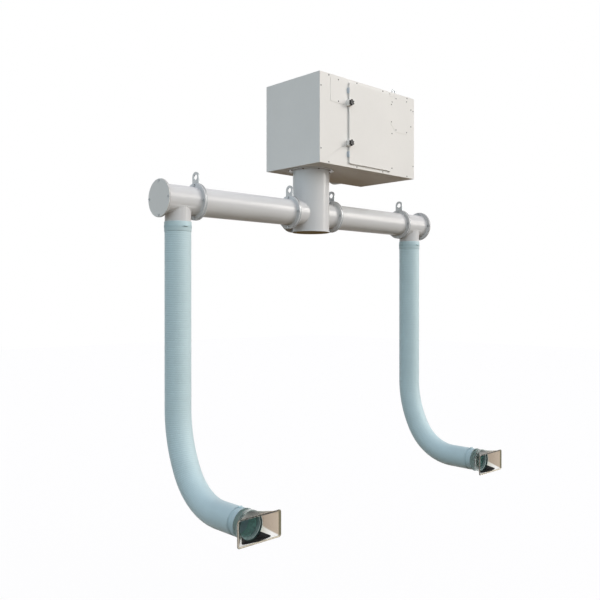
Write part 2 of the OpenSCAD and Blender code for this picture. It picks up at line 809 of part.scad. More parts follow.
module impeller() color(steel)
    translate([shroud_x, fan_y, fan_z]) along_x() {
        eye_r = impeller_eye_d / 2;
        rim_r = impeller_d / 2;
        depth = backplate_x - shroud_x;
        difference() {
            union() {
                translate([0, 0, depth]) cylinder(r = rim_r, h = blade_t);
                translate([0, 0, depth - boss_l]) cylinder(d = boss_d, h = boss_l);
            }
            translate([0, 0, depth - boss_l - cut])
                cylinder(r = shaft_d / 2 + shaft_gap, h = boss_l + blade_t + 2 * cut, $fn = 32);
        }
        rotate_extrude() polygon([[eye_r, 0], [eye_r + blade_t, 0],
            [rim_r, shroud_rise], [rim_r, shroud_rise + blade_t],
            [eye_r, blade_t]]);
        for (i = [0:blades - 1]) rotate(i * 360 / blades) intersection() {
            linear_extrude(depth + blade_t) polygon(concat(
                [for (k = [0:blade_steps]) blade_at(k / blade_steps, -1)],
                [for (k = [blade_steps:-1:0]) blade_at(k / blade_steps, 1)]));
            rotate_extrude() polygon([[eye_r - 2 * cone_gap - cone_wall, shroud_rise],
                [eye_r, blade_t / 2], [rim_r, shroud_rise + blade_t / 2],
                [rim_r, depth + blade_t / 2],
                [eye_r - 2 * cone_gap - cone_wall, depth + blade_t / 2]]);
        }
    }

module fan_motor() color(dark_steel)
    translate([motor_x0, fan_y, fan_z]) along_x() {
        cylinder(d = motor_d - 2 * motor_rib_h, h = motor_l);
        for (i = [0:motor_ribs - 1]) rotate(i * 360 / motor_ribs)
            translate([motor_d / 2 - 2 * motor_rib_h, -motor_rib_t / 2, motor_rib_h])
                cube([2 * motor_rib_h, motor_rib_t, motor_l - 2 * motor_rib_h]);
        translate([0, 0, backplate_x - motor_x0 - boss_l])
            cylinder(d = shaft_d, h = boss_l + motor_x0 - backplate_x + cut, $fn = 32);
    }

// Cross plate behind the motor, held off the bulkhead by four rods
module motor_bracket() color(steel)
    translate([bulkhead_x + sheet_t, fan_y, fan_z]) along_x() {
        reach = motor_x0 + motor_l - bulkhead_x - sheet_t;
        for (a = [45, 135]) rotate(a)
            translate([-rod_circle_r - rod_d, -bracket_w / 2, reach])
                cube([2 * (rod_circle_r + rod_d), bracket_w, bracket_t]);
        for (a = [45:90:315]) rotate(a) translate([rod_circle_r, 0, 0])
            cylinder(d = rod_d, h = reach + bracket_t / 2, $fn = 24);
    }

// Exhaust: a plain tube whose collar lies on the back panel, round the hole
module exhaust_spigot() color(paint)
    translate([exhaust_x, back_y, exhaust_cz]) along_y() difference() {
        union() {
            cylinder(d = exhaust_d, h = exhaust_l);
            cylinder(r = exhaust_d / 2 + exhaust_flange_w, h = sheet_t);
        }
        translate([0, 0, -cut])
            cylinder(r = exhaust_d / 2 - sheet_t, h = exhaust_l + 2 * cut);
    }

// Column

// A port of the column along its local Z, before the bores are cut
module port_outside() {
    cylinder(d = duct_d, h = inner_joint - joint_half);
    translate([0, 0, inner_joint - joint_half]) cylinder(d = flange_d, h = flange_t);
}

module port_inside() {
    cylinder(r = duct_d / 2 - sheet_t, h = inner_joint);
    translate([0, 0, inner_joint - joint_half]) flange_holes(flange_t);
}

module column() color(paint) difference() {
    union() {
        translate([0, 0, column_z0]) cylinder(d = column_d, h = column_l);
        translate([0, 0, floor_z - column_flange_t])
            cylinder(d = column_flange_d, h = column_flange_t);
        translate([0, 0, duct_z]) {
            along_x() port_outside();
            mirror([1, 0, 0]) along_x() port_outside();
            along_y() port_outside();
        }
    }
    translate([0, 0, column_z0 - cut])
        cylinder(r = column_d / 2 - sheet_t, h = column_l + 2 * cut);
    translate([0, 0, duct_z]) {
        along_x() port_inside();
        mirror([1, 0, 0]) along_x() port_inside();
        along_y() port_inside();
    }
    for (a = [0:360 / column_bolts_n:359]) rotate(a + 180 / column_bolts_n)
        translate([column_bolt_r, 0, floor_z - column_flange_t - cut])
            cylinder(d = bolt_d + 2 * bolt_gap, h = column_flange_t + 2 * cut, $fn = 24);
}

module column_bolts() color(steel)
    for (a = [0:360 / column_bolts_n:359]) rotate(a + 180 / column_bolts_n)
        translate([column_bolt_r, 0, floor_z - column_flange_t])
            bolt(bolt_d, column_flange_t + sheet_t);

module column_base_cap() color(paint) {
    translate([0, 0, column_z0 - cap_t])
        cylinder(r = column_d / 2 + cap_lip, h = cap_t);
    spigot_r = column_d / 2 - sheet_t - cap_gap;
    translate([0, 0, column_z0 - cap_t / 2])
        ring(spigot_r, spigot_r - sheet_t, cap_spigot_l + cap_t / 2);
}

module rear_blanking_disc() color(paint)
    translate([0, inner_joint - joint_half + flange_t, duct_z]) along_y() difference() {
        cylinder(d = flange_d, h = blank_t);
        flange_holes(blank_t);
    }

// Ducts

module duct(side) {
    x0 = inner_joint + hanger_t / 2;
    x1 = outer_joint - hanger_t / 2;
    mirror([side < 0 ? 1 : 0, 0, 0]) translate([x0, 0, duct_z]) along_x() difference() {
        union() {
            cylinder(d = duct_d, h = x1 - x0);
            for (z = [0, x1 - x0 - flange_t]) translate([0, 0, z])
                cylinder(d = flange_d, h = flange_t);
        }
        translate([0, 0, -cut]) cylinder(r = duct_d / 2 - sheet_t, h = x1 - x0 + 2 * cut);
        for (z = [0, x1 - x0 - flange_t]) translate([0, 0, z]) flange_holes(flange_t);
    }
}

module duct_left() color(paint) duct(-1);
module duct_right() color(paint) duct(1);

// Hanger plate: a ring between two flanges with a lug that stands up from it
module hanger(x) {
    translate([x - hanger_t / 2, 0, duct_z]) rotate([90, 0, 90]) difference() {
        linear_extrude(hanger_t) difference() {
            union() {
                circle(d = flange_d);
                translate([-lug_w / 2, 0]) square([lug_w, lug_hole_z]);
                translate([0, lug_hole_z]) circle(d = lug_w);
            }
            circle(r = duct_d / 2 - sheet_t);
            translate([0, lug_hole_z]) circle(d = lug_hole_d);
        }
        flange_holes(hanger_t);
    }
}

module hanger_inner_left() color(steel) hanger(-inner_joint);
module hanger_inner_right() color(steel) hanger(inner_joint);
module hanger_outer_left() color(steel) hanger(-outer_joint);
module hanger_outer_right() color(steel) hanger(outer_joint);

module tee(side) {
    x0 = outer_joint + hanger_t / 2;
    mirror([side < 0 ? 1 : 0, 0, 0]) difference() {
        union() {
            translate([x0, 0, duct_z]) along_x() {
                cylinder(d = duct_d, h = tee_x1 - x0);
                cylinder(d = flange_d, h = flange_t);
                translate([0, 0, tee_x1 - x0 - flange_t]) cylinder(d = flange_d, h = flange_t);
            }
            translate([arm_reach, 0, spigot_z0]) cylinder(d = spigot_d, h = duct_z - spigot_z0);
        }
        translate([x0 - cut, 0, duct_z]) along_x()
            cylinder(r = duct_d / 2 - sheet_t, h = tee_x1 - x0 + 2 * cut);
        translate([arm_reach, 0, spigot_z0 - cut])
            cylinder(r = spigot_d / 2 - sheet_t, h = duct_z - spigot_z0 + cut);
        translate([x0, 0, duct_z]) along_x() flange_holes(flange_t);
        translate([tee_x1 - flange_t, 0, duct_z]) along_x() flange_holes(flange_t);
    }
}

module tee_left() color(paint) tee(-1);
module tee_right() color(paint) tee(1);

module end_cap(side)
    mirror([side < 0 ? 1 : 0, 0, 0]) translate([tee_x1, 0, duct_z]) along_x() difference() {
        cylinder(d = flange_d, h = cap_plate_t);
        flange_holes(cap_plate_t);
    }

module end_cap_left() color(paint) end_cap(-1);
module end_cap_right() color(paint) end_cap(1);

// Four bolts on the flange circle, their heads below zero
module bolt_ring(grip)
    for (a = [0:90:270]) rotate(a) translate([bolt_circle_d / 2, 0, 0]) bolt(bolt_d, grip);

module flange_bolts() color(steel) {
    for (side = [0, 1]) mirror([side, 0, 0]) {
        for (x = [inner_joint, outer_joint]) translate([x - joint_half, 0, duct_z])
            along_x() bolt_ring(2 * flange_t + hanger_t);
        translate([duct_reach, 0, duct_z]) rotate([0, -90, 0])
            bolt_ring(cap_plate_t + flange_t);
    }
    translate([0, inner_joint - joint_half + flange_t + blank_t, duct_z])
        rotate([90, 0, 0]) bolt_ring(blank_t + flange_t);
}

// Arms

// Cuff with an inward lip that the hose's end meets; along +Z from the lip
module cuff(outer_r, wall, length)
    rotate_extrude() polygon([[hose_in_r, 0], [outer_r, 0], [outer_r, length],
        [outer_r - wall, length], [outer_r - wall, cuff_wall], [hose_in_r, cuff_wall]]);

// Band clip round a cuff with its worm housing, the band standing on the XY plane
module hose_clip(seat_r) {
    band_r = seat_r + clip_seat;
    ring(band_r + clip_t, band_r, clip_w);
    translate([-clip_screw_w / 2, band_r + clip_screw_d / 2 + clip_t / 3, clip_w / 2])
        along_x() cylinder(d = clip_screw_d, h = clip_screw_w, $fn = 24);
}

module upper_cuff(x) translate([x, 0, hose_top_z - cuff_l]) cuff(cuff_out_r, cuff_wall, cuff_l);
module upper_clip(x) translate([x, 0, hose_top_z - cuff_l / 2 - clip_w / 2])
    hose_clip(cuff_out_r);

module upper_cuff_left() color(hose_colour) upper_cuff(-arm_reach);
module upper_cuff_right() color(hose_colour) upper_cuff(arm_reach);
module upper_clip_left() color(steel) upper_clip(-arm_reach);
module upper_clip_right() color(steel) upper_clip(arm_reach);

// The hose's middle line: a point at a length along it as Y, Z and the angle turned
function hose_at(s) = let (
        s1 = hose_drop_l, s2 = s1 + wide_l, s3 = s2 + tight_l,
        z1 = hose_top_z - hose_drop_l,
        a1 = (s - s1) / wide_l * bend_wide_a,
        a2 = bend_wide_a + (s - s2) / tight_l * bend_tight_a)
    s <= s1 ? [0, hose_top_z - s, 0] :
    s <= s2 ? [-bend_wide_r * (1 - cos(a1)), z1 - bend_wide_r * sin(a1), a1] :
    s <= s3 ? [bend_y + bend_tight_r * cos(a2),
               bend_z + bend_tight_r * (1 - sin(a2)), a2] :
    [bend_y - (s - s3), bend_z, 90];

// One ring of points round the middle line
function hose_ring(x, s, r) = let (p = hose_at(s))
    [for (i = [0:hose_sides - 1]) let (t = (i + 0.5) * 360 / hose_sides)
        [x + r * cos(t), p[0] + r * sin(t) * cos(p[2]), p[1] - r * sin(t) * sin(p[2])]];

// Two triangles for each side between the rings that start at points a and b
function strip(a, b) = [for (i = [0:hose_sides - 1]) let (j = (i + 1) % hose_sides)
    each [[a + i, b + i, b + j], [a + i, b + j, a + j]]];

// Ribbed tube with its bore, between two lengths along the middle line
module ribbed_hose(x, s0, s1, bore_steps) {
    ribs = max(1, floor((s1 - s0) / rib_pitch));
    n = 2 * ribs;
    outer = [for (i = [0:n])
        each hose_ring(x, s0 + (s1 - s0) * i / n, i % 2 == 0 ? hose_valley_r : hose_out_r)];
    bore = [for (i = [0:bore_steps])
        each hose_ring(x, s0 + (s1 - s0) * i / bore_steps, hose_in_r)];
    m = len(outer);
    polyhedron(points = concat(outer, bore), faces = concat(
        [for (i = [0:n - 1]) each strip(i * hose_sides, (i + 1) * hose_sides)],
        [for (i = [0:bore_steps - 1])
            each strip(m + (i + 1) * hose_sides, m + i * hose_sides)],
        strip(m, 0),
        strip(n * hose_sides, m + bore_steps * hose_sides)), convexity = 6);
}

module hose_drop(x) ribbed_hose(x, cuff_l, hose_drop_l, 1);
module hose_bend(x) ribbed_hose(x, hose_drop_l, hose_l, 14);

module hose_drop_left() color(hose_colour) hose_drop(-arm_reach);
module hose_drop_right() color(hose_colour) hose_drop(arm_reach);
module hose_bend_left() color(hose_colour) hose_bend(-arm_reach);
module hose_bend_right() color(hose_colour) hose_bend(arm_reach);

module lower_cuff(x) translate([x, hose_end_y, bend_z]) rotate([90, 0, 0])
    cuff(end_cuff_out_r, cuff_wall, end_cuff_l);
module lower_clip(x) translate([x, hose_end_y - (collar_start - clip_w) / 2, bend_z])
    rotate([90, 0, 0]) hose_clip(end_cuff_out_r);

module lower_cuff_left() color(hose_colour) lower_cuff(-arm_reach);
module lower_cuff_right() color(hose_colour) lower_cuff(arm_reach);
module lower_clip_left() color(steel) lower_clip(-arm_reach);
module lower_clip_right() color(steel) lower_clip(arm_reach);

// Thin slices of the flare, at its round end and at its mouth
module round_slice(r) cylinder(r = r / cos(180 / flare_sides) + flare_step, h = slice_t,
    $fn = flare_sides);
module mouth_slice(w, h, r)
    for (x = [-1, 1], y = [-1, 1]) translate([x * (w / 2 - r), y * (h / 2 - r), 0])
        cylinder(r = r, h = slice_t, $fn = flare_sides / 2);

// Hood along +Z: a round collar, a flare from round to rectangle, and a rim
module hood_shape() {
    w = hood_w - 2 * hood_rim_w;
    h = hood_h - 2 * hood_rim_w;
    r = hood_corner_r - hood_rim_w / 2;
    end = hood_collar_l + hood_flare_l;
    ring(hood_out_r, hood_in_r, hood_collar_l);
    for (z = [0, hood_collar_l - 2 * collar_bead_w]) translate([0, 0, z])
        ring(hood_out_r + collar_bead_h, hood_in_r, collar_bead_w);
    difference() {
        union() {
            hull() {
                translate([0, 0, hood_collar_l - slice_t]) round_slice(hood_out_r);
                translate([0, 0, end - slice_t]) mouth_slice(w, h, r);
            }
            translate([-hood_w / 2, -hood_h / 2, end - hood_rim_w]) linear_extrude(hood_rim_w)
                round_rect(hood_w, hood_h, hood_corner_r);
        }
        hull() {
            translate([0, 0, hood_collar_l - 2 * slice_t]) round_slice(hood_in_r);
            translate([0, 0, end]) mouth_slice(w - 2 * hood_wall, h - 2 * hood_wall, r / 2);
        }
    }
}

module hood(x) translate([x, hood_collar_y, bend_z]) rotate([90, 0, 0]) hood_shape();

module hood_left() color(clear_brown) hood(-arm_reach);
module hood_right() color(clear_brown) hood(arm_reach);

base_panel();
roof_panel();
left_panel();
right_panel();
back_panel();
front_panel();
panel_screws();
electrical_cover();
terminal_box();
fan_access_cover();
door_panel();
door_seal();
hinge_brackets();
star_knob_upper();
star_knob_lower();
clamp_sockets();
edge_guides();
roof_eyes();
filter_track_lower();
filter_track_upper();
pre_filter();
main_filter();
fan_bulkhead();
inlet_cone();
impeller();
fan_motor();
motor_bracket();
exhaust_spigot();
column();
column_base_cap();
column_bolts();
rear_blanking_disc();
duct_left();
duct_right();
hanger_inner_left();
hanger_inner_right();
hanger_outer_left();
hanger_outer_right();
flange_bolts();
tee_left();
tee_right();
end_cap_left();
end_cap_right();
upper_cuff_left();
upper_cuff_right();
upper_clip_left();
upper_clip_right();
hose_drop_left();
hose_drop_right();
hose_bend_left();
hose_bend_right();
lower_cuff_left();
lower_cuff_right();
lower_clip_left();
lower_clip_right();
hood_left();
hood_right();
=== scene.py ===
import json
import math

import bmesh
import bpy
from mathutils import Matrix, Vector


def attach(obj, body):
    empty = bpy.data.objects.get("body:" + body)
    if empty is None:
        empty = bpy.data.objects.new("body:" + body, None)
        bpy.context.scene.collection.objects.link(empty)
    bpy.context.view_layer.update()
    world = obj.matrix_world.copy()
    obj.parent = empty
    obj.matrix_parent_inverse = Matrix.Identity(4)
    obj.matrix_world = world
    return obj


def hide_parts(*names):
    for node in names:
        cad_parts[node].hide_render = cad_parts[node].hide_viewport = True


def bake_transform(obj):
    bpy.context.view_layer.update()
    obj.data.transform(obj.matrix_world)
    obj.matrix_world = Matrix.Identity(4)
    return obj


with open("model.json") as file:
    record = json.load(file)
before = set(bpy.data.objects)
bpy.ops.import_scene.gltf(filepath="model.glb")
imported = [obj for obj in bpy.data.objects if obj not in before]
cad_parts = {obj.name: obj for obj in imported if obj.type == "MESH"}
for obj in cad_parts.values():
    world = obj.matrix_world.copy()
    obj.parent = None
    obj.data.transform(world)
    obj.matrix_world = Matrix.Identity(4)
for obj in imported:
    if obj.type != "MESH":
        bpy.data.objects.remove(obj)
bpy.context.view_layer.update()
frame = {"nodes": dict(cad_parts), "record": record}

TAU = 2 * math.pi
SIDES = (("left", -1), ("right", 1))
UP, FORWARD, RIGHT = (0, 0, 1), (0, -1, 0), (1, 0, 0)
WHITE, BLACK = (1.0, 1.0, 1.0), (0.0, 0.0, 0.0)

# Places and sizes of the part's source, in metres
ARM = 1.138
DUCT_Z = -0.959
DUCT_R = 0.090
COLUMN_R = 0.130
SPIGOT_R = 0.0795
FLANGE_R, FLANGE_T = 0.115, 0.008
HANGER_T = 0.008
END_PLATE_T = 0.005
BOLT_CIRCLE_R = 0.1025
INNER_JOINT = 0.210
OUTER_JOINT = 1.005
DUCT_REACH = 1.274
REAR_PLATE_Y = 0.211
HOSE_TOP_Z = -1.093
DROP_L = 1.134
WIDE_R, WIDE_A = 0.750, math.radians(30)
TIGHT_R, TIGHT_A = 0.370, math.radians(60)
TAIL_L = 0.162
HOSE_R = 0.081
RIB_H = 0.003
HOSE_WALL = 0.003
CUFF_L = 0.060
CUFF_WALL, CUFF_FIT = 0.003, 0.0003
CLIP_W = 0.013
COLLAR_START = 0.025
HOOD_W, HOOD_H = 0.307, 0.151
HOOD_WALL, RIM_W = 0.003, 0.005
STUD_X = 0.0905
CLAMP_Z = {"lower": -0.478, "upper": -0.198}
EAR_FRONT_Y = -0.3005
CASSETTE_Y, CASSETTE_Z = -0.0015, -0.3345

# Sizes of the scene alone, closer to the photograph
LONG_CUFF_L = 0.089
COLLAR_INSET, COLLAR_L, FLARE_L = 0.029, 0.053, 0.075
HOOD_CORNER = 0.0095

JOINT_HALF = FLANGE_T + HANGER_T / 2
BORE_R = HOSE_R - RIB_H - HOSE_WALL
TOP_CUFF_R = SPIGOT_R + (CUFF_FIT + CUFF_WALL)
END_CUFF_R = HOSE_R - RIB_H / 2
WIDE_L = WIDE_R * WIDE_A
TIGHT_L = TIGHT_R * TIGHT_A
HOSE_L = DROP_L + WIDE_L + TIGHT_L + TAIL_L
BEND_Y = -WIDE_R * (1 - math.cos(WIDE_A)) - TIGHT_R * math.cos(WIDE_A)
BEND_Z = HOSE_TOP_Z - DROP_L - WIDE_R * math.sin(WIDE_A) + TIGHT_R * math.sin(WIDE_A) - TIGHT_R
HOSE_END_Y = BEND_Y - TAIL_L
COLLAR_Y = HOSE_END_Y - COLLAR_START - COLLAR_INSET
THROAT_Y = COLLAR_Y - COLLAR_L
MOUTH_Y = THROAT_Y - FLARE_L

# Facets round a tube, and the radius at which a solid profile stops beside its axis
ROUND_SIDES = 72
NEAR_AXIS = 0.0001
# Points closer than this are one
MERGE_GAP = 1e-6


def linked(name, data):
    """A new object of the scene."""
    obj = bpy.data.objects.new(name, data)
    bpy.context.scene.collection.objects.link(obj)
    return obj


def facing(towards):
    """Rotation of a camera or lamp that looks in a direction."""
    return Vector(towards).to_track_quat("-Z", "Y").to_euler()


# Camera, from the photograph's own perspective

CAMERA_AT = (-3.6707, -3.7140, -1.5547)
CAMERA_TOWARDS = (0.69211, 0.72178, -0.00299)
CAMERA_LENS, CAMERA_SENSOR = 43.72, 36


def make_camera():
    data = bpy.data.cameras.new("camera")
    data.sensor_width = CAMERA_SENSOR
    data.lens = CAMERA_LENS
    camera = linked("camera", data)
    camera.location = CAMERA_AT
    camera.rotation_euler = facing(CAMERA_TOWARDS)
    bpy.context.scene.camera = camera


# Node helpers

class Tree:
    """A material's or the world's node tree, with short calls for the nodes used here."""

    def __init__(self, owner):
        owner.use_nodes = True
        self.t = owner.node_tree
        self.t.nodes.clear()

    def node(self, kind, **values):
        n = self.t.nodes.new(kind)
        for k, v in values.items():
            setattr(n, k, v)
        return n

    def put(self, socket, value):
        if isinstance(value, bpy.types.NodeSocket):
            self.t.links.new(value, socket)
        elif value is not None:
            socket.default_value = value

    def coords(self, kind="Object"):
        return self.node("ShaderNodeTexCoord").outputs[kind]

    def axes(self, kind="Object"):
        """X, Y and Z of one kind of coordinates."""
        n = self.node("ShaderNodeSeparateXYZ")
        self.put(n.inputs[0], self.coords(kind))
        return tuple(n.outputs)

    def math(self, op, a, b=None, c=None, clamp=False):
        n = self.node("ShaderNodeMath", operation=op, use_clamp=clamp)
        for i, v in enumerate((a, b, c)):
            self.put(n.inputs[i], v)
        return n.outputs[0]

    def noise(self, scale, detail, rough=0.5):
        n = self.node("ShaderNodeTexNoise")
        self.put(n.inputs["Vector"], self.coords())
        n.inputs["Scale"].default_value = scale
        n.inputs["Detail"].default_value = detail
        n.inputs["Roughness"].default_value = rough
        return n.outputs["Fac"]

    def cells(self, scale):
        """A random shade for each cell."""
        n = self.node("ShaderNodeTexVoronoi")
        self.put(n.inputs["Vector"], self.coords())
        n.inputs["Scale"].default_value = scale
        shade = self.node("ShaderNodeSeparateColor")
        self.put(shade.inputs[0], n.outputs["Color"])
        return shade.outputs[0]

    def span(self, value, lo, hi, to_lo=0.0, to_hi=1.0, smooth=False):
        n = self.node("ShaderNodeMapRange", clamp=True)
        if smooth:
            n.interpolation_type = "SMOOTHSTEP"
        for i, v in enumerate((value, lo, hi, to_lo, to_hi)):
            self.put(n.inputs[i], v)
        return n.outputs[0]

    def mix(self, factor, a, b, blend="MIX"):
        n = self.node("ShaderNodeMix", data_type="RGBA", blend_type=blend)
        self.put(n.inputs[0], factor)
        self.put(n.inputs[6], rgba(a))
        self.put(n.inputs[7], rgba(b))
        return n.outputs[2]

    def bump(self, height, strength, distance, under=None):
        n = self.node("ShaderNodeBump")
        n.inputs["Strength"].default_value = strength
        n.inputs["Distance"].default_value = distance
        self.put(n.inputs["Height"], height)
        self.put(n.inputs["Normal"], under)
        return n.outputs[0]

    def principled(self, **values):
        n = self.node("ShaderNodeBsdfPrincipled")
        for k, v in values.items():
            self.put(n.inputs[k.replace("_", " ")], rgba(v) if k == "Base_Color" else v)
        self.show(n.outputs[0])

    def plain(self, kind, colour, strength=None):
        """A shader of one colour, with a strength where its kind has one."""
        n = self.node(kind)
        self.put(n.inputs[0], rgba(colour))
        self.put(n.inputs[1], strength)
        return n.outputs[0]

    def seen_directly(self):
        """1 for the camera's rays, reflections and what is seen through clear plastic."""
        path = self.node("ShaderNodeLightPath")
        seen = self.math("MAXIMUM", path.outputs["Is Camera Ray"], path.outputs["Is Glossy Ray"])
        return self.math("MAXIMUM", seen, path.outputs["Is Transmission Ray"])

    def unseen_or_seen(self, light, picture):
        """One shader for what lights the part, another for what is seen directly."""
        n = self.node("ShaderNodeMixShader")
        for i, v in enumerate((self.seen_directly(), light, picture)):
            self.put(n.inputs[i], v)
        return n.outputs[0]

    def show(self, surface, kind="ShaderNodeOutputMaterial"):
        self.put(self.node(kind).inputs[0], surface)


def rgba(value):
    return (*value, 1.0) if isinstance(value, tuple) and len(value) == 3 else value


def tone(colour, factor):
    return tuple(c * factor for c in colour)


def new_material(name):
    m = bpy.data.materials.new(name)
    return m, Tree(m)


# Materials. A span's numbers are from, to, and what they become; heights of bumps are metres

def painted(name, colour, rough, peel, coat=0.0, coat_rough=0.20):
    """Sprayed paint: fine orange peel over faint waves, a slow drift of shade, small specks."""
    m, t = new_material(name)
    drift = t.noise(2.3, detail=4.0, rough=0.6)
    fine = t.noise(55.0, detail=3.0, rough=0.55)
    base = t.mix(t.span(drift, 0.3, 0.7), tone(colour, 0.975), tone(colour, 1.02))
    base = t.mix(t.span(fine, 0.45, 0.75, 0.0, 0.10), base, tone(colour, 0.90))
    shade = t.math("ADD", t.math("MULTIPLY", drift, 0.10), t.math("MULTIPLY", fine, 0.06))
    rough_out = t.math("ADD", shade, rough - 0.08, clamp=True)
    waves = t.bump(t.noise(9.0, detail=2.0, rough=0.4), strength=0.10, distance=0.0012)
    skin = t.noise(620.0, detail=2.0, rough=0.45)
    normal = t.bump(skin, strength=peel, distance=0.00025, under=waves)
    t.principled(Base_Color=base, Roughness=rough_out, Normal=normal, Coat_Weight=coat,
                 Coat_Roughness=coat_rough, Specular_IOR_Level=0.0)
    return m


def zinc(name, colour, rough):
    """Plated steel: small crystals, duller patches and a fine grain."""
    m, t = new_material(name)
    crystals = t.cells(420.0)
    patches = t.noise(30.0, detail=4.0, rough=0.6)
    base = t.mix(t.span(crystals, 0.0, 1.0, 0.0, 0.5), tone(colour, 0.93), tone(colour, 1.08))
    base = t.mix(t.span(patches, 0.45, 0.7, 0.0, 0.35), base, tone(colour, 0.80))
    rough_out = t.math("MULTIPLY_ADD", patches, 0.25, rough - 0.12, clamp=True)
    normal = t.bump(t.noise(900.0, detail=2.0), strength=0.12, distance=0.0002)
    t.principled(Base_Color=base, Roughness=rough_out, Normal=normal, Metallic=0.9)
    return m


def moulded(name, colour, rough, grain, specular=0.4):
    """Moulded plastic or rubber with a fine eroded grain and rubbed high spots."""
    m, t = new_material(name)
    wear = t.noise(70.0, detail=4.0, rough=0.6)
    base = t.mix(t.span(wear, 0.4, 0.75), tone(colour, 0.85), tone(colour, 1.35))
    rough_out = t.math("MULTIPLY_ADD", wear, 0.2, rough - 0.10, clamp=True)
    normal = t.bump(t.noise(1400.0, detail=2.0), strength=grain, distance=0.0002)
    t.principled(Base_Color=base, Roughness=rough_out, Normal=normal,
                 Specular_IOR_Level=specular)
    return m


def hose_cloth(name, colour, weave):
    """Coated hose cloth: U runs once per rib along the hose, V once round it."""
    threads_round, wefts_a_rib = 420, 15
    m, t = new_material(name)
    lengthwise, around, _ = t.axes("UV")
    threads = t.math("SINE", t.math("MULTIPLY", around, TAU * threads_round))
    wefts = t.math("SINE", t.math("MULTIPLY", lengthwise, TAU * wefts_a_rib))
    cloth = t.math("MULTIPLY", threads, wefts)
    spread = t.noise(6.0, detail=4.0, rough=0.6)
    mottle = t.noise(46.0, detail=3.0, rough=0.55)
    in_pitch = t.math("FRACT", t.math("ADD", lengthwise, 0.5))
    from_rib = t.math("ABSOLUTE", t.math("SUBTRACT", in_pitch, 0.5))
    base = t.mix(t.span(spread, 0.3, 0.7), tone(colour, 0.96), tone(colour, 1.03))
    base = t.mix(t.span(mottle, 0.45, 0.75, 0.0, 0.20), base, tone(colour, 0.90))
    # Paler on the crests, and darker in the valleys between ribs: painted shade
    base = t.mix(t.span(from_rib, 0.05, 0.42, 0.12, 0.0, smooth=True), base, tone(colour, 1.06))
    base = t.mix(t.span(from_rib, 0.30, 0.50, 0.0, 0.12, smooth=True), base, tone(colour, 0.88))
    rough_out = t.span(from_rib, 0.0, 0.3, 0.40, 0.52)
    normal = t.bump(mottle, strength=0.15, distance=0.0012)
    normal = t.bump(cloth, strength=weave, distance=0.00018, under=normal)
    t.principled(Base_Color=base, Roughness=rough_out, Normal=normal, Sheen_Weight=0.12,
                 Sheen_Roughness=0.45, Specular_IOR_Level=0.35)
    return m


def hood_plastic(name):
    """Clear plastic with fine scuffs whose colour, told apart by place, paints the reflections
    and
    shade seen in and through it: a teal-grey collar, brown walls that pale to the mouth under a
    dark teal roof by the throat, a nearly clear floor that darkens by the throat, and a dark
    moulded rim with paler left and lower edges."""
    roof_low, roof_high = 0.048, 0.062
    crease_at_throat, crease_fall, crease_soft = -0.014, -0.054, (-0.006, 0.004)
    collar_start, collar_full = THROAT_Y - 0.004, THROAT_Y + 0.003
    rim_start, rim_full = MOUTH_Y + 0.0075, MOUTH_Y + 0.0060
    rim_left, rim_low = (-0.148, -0.120), (-0.072, -0.062)
    m, t = new_material(name)
    x, y, z = t.axes()
    height = t.math("SUBTRACT", z, BEND_Z)
    across = t.math("SUBTRACT", x, t.math("MULTIPLY", t.math("SIGN", x), ARM))
    scuffs = t.noise(34.0, detail=5.0, rough=0.65)
    flow = t.noise(11.0, detail=2.0, rough=0.4)
    forward = t.span(y, THROAT_Y, MOUTH_Y)
    # Painted reflection and shade: brown walls, darker by the throat and paler at the mouth,
    # under a dark teal roof by the throat
    walls = t.mix(forward, (0.36, 0.29, 0.22), (0.52, 0.43, 0.33))
    roof = t.mix(t.span(forward, 0.0, 0.7), (0.11, 0.21, 0.18), (0.42, 0.34, 0.24))
    walls = t.mix(t.span(height, roof_low, roof_high, smooth=True), walls, roof)
    crease = t.math("MULTIPLY_ADD", forward, crease_fall, crease_at_throat)
    above = t.math("SUBTRACT", height, crease)
    # Painted reflection and shade: the floor nearly clear at the mouth and darker by the throat
    clear = t.mix(t.span(forward, 0.0, 0.6), (0.55, 0.54, 0.46), (0.90, 0.895, 0.87))
    body = t.mix(t.span(above, *crease_soft, smooth=True), clear, walls)
    # Painted reflection: the collar takes the teal of the hose seen through it
    base = t.mix(t.span(y, collar_start, collar_full), body, (0.47, 0.56, 0.53))
    # Painted reflections: the dark rim is paler along its left and lower edges
    rim = t.mix(t.span(across, *rim_left), (0.48, 0.43, 0.35), (0.16, 0.14, 0.08))
    rim = t.mix(t.span(height, *rim_low), (0.50, 0.45, 0.35), rim)
    base = t.mix(t.span(y, rim_start, rim_full), base, rim)
    base = t.mix(t.span(scuffs, 0.5, 0.8, 0.0, 0.4), base, (0.93, 0.93, 0.93), "MULTIPLY")
    rough_out = t.span(scuffs, 0.45, 0.8, 0.02, 0.12)
    normal = t.bump(flow, strength=0.10, distance=0.002)
    t.principled(Base_Color=base, Roughness=rough_out, Normal=normal, IOR=1.49,
                 Transmission_Weight=1.0)
    return m


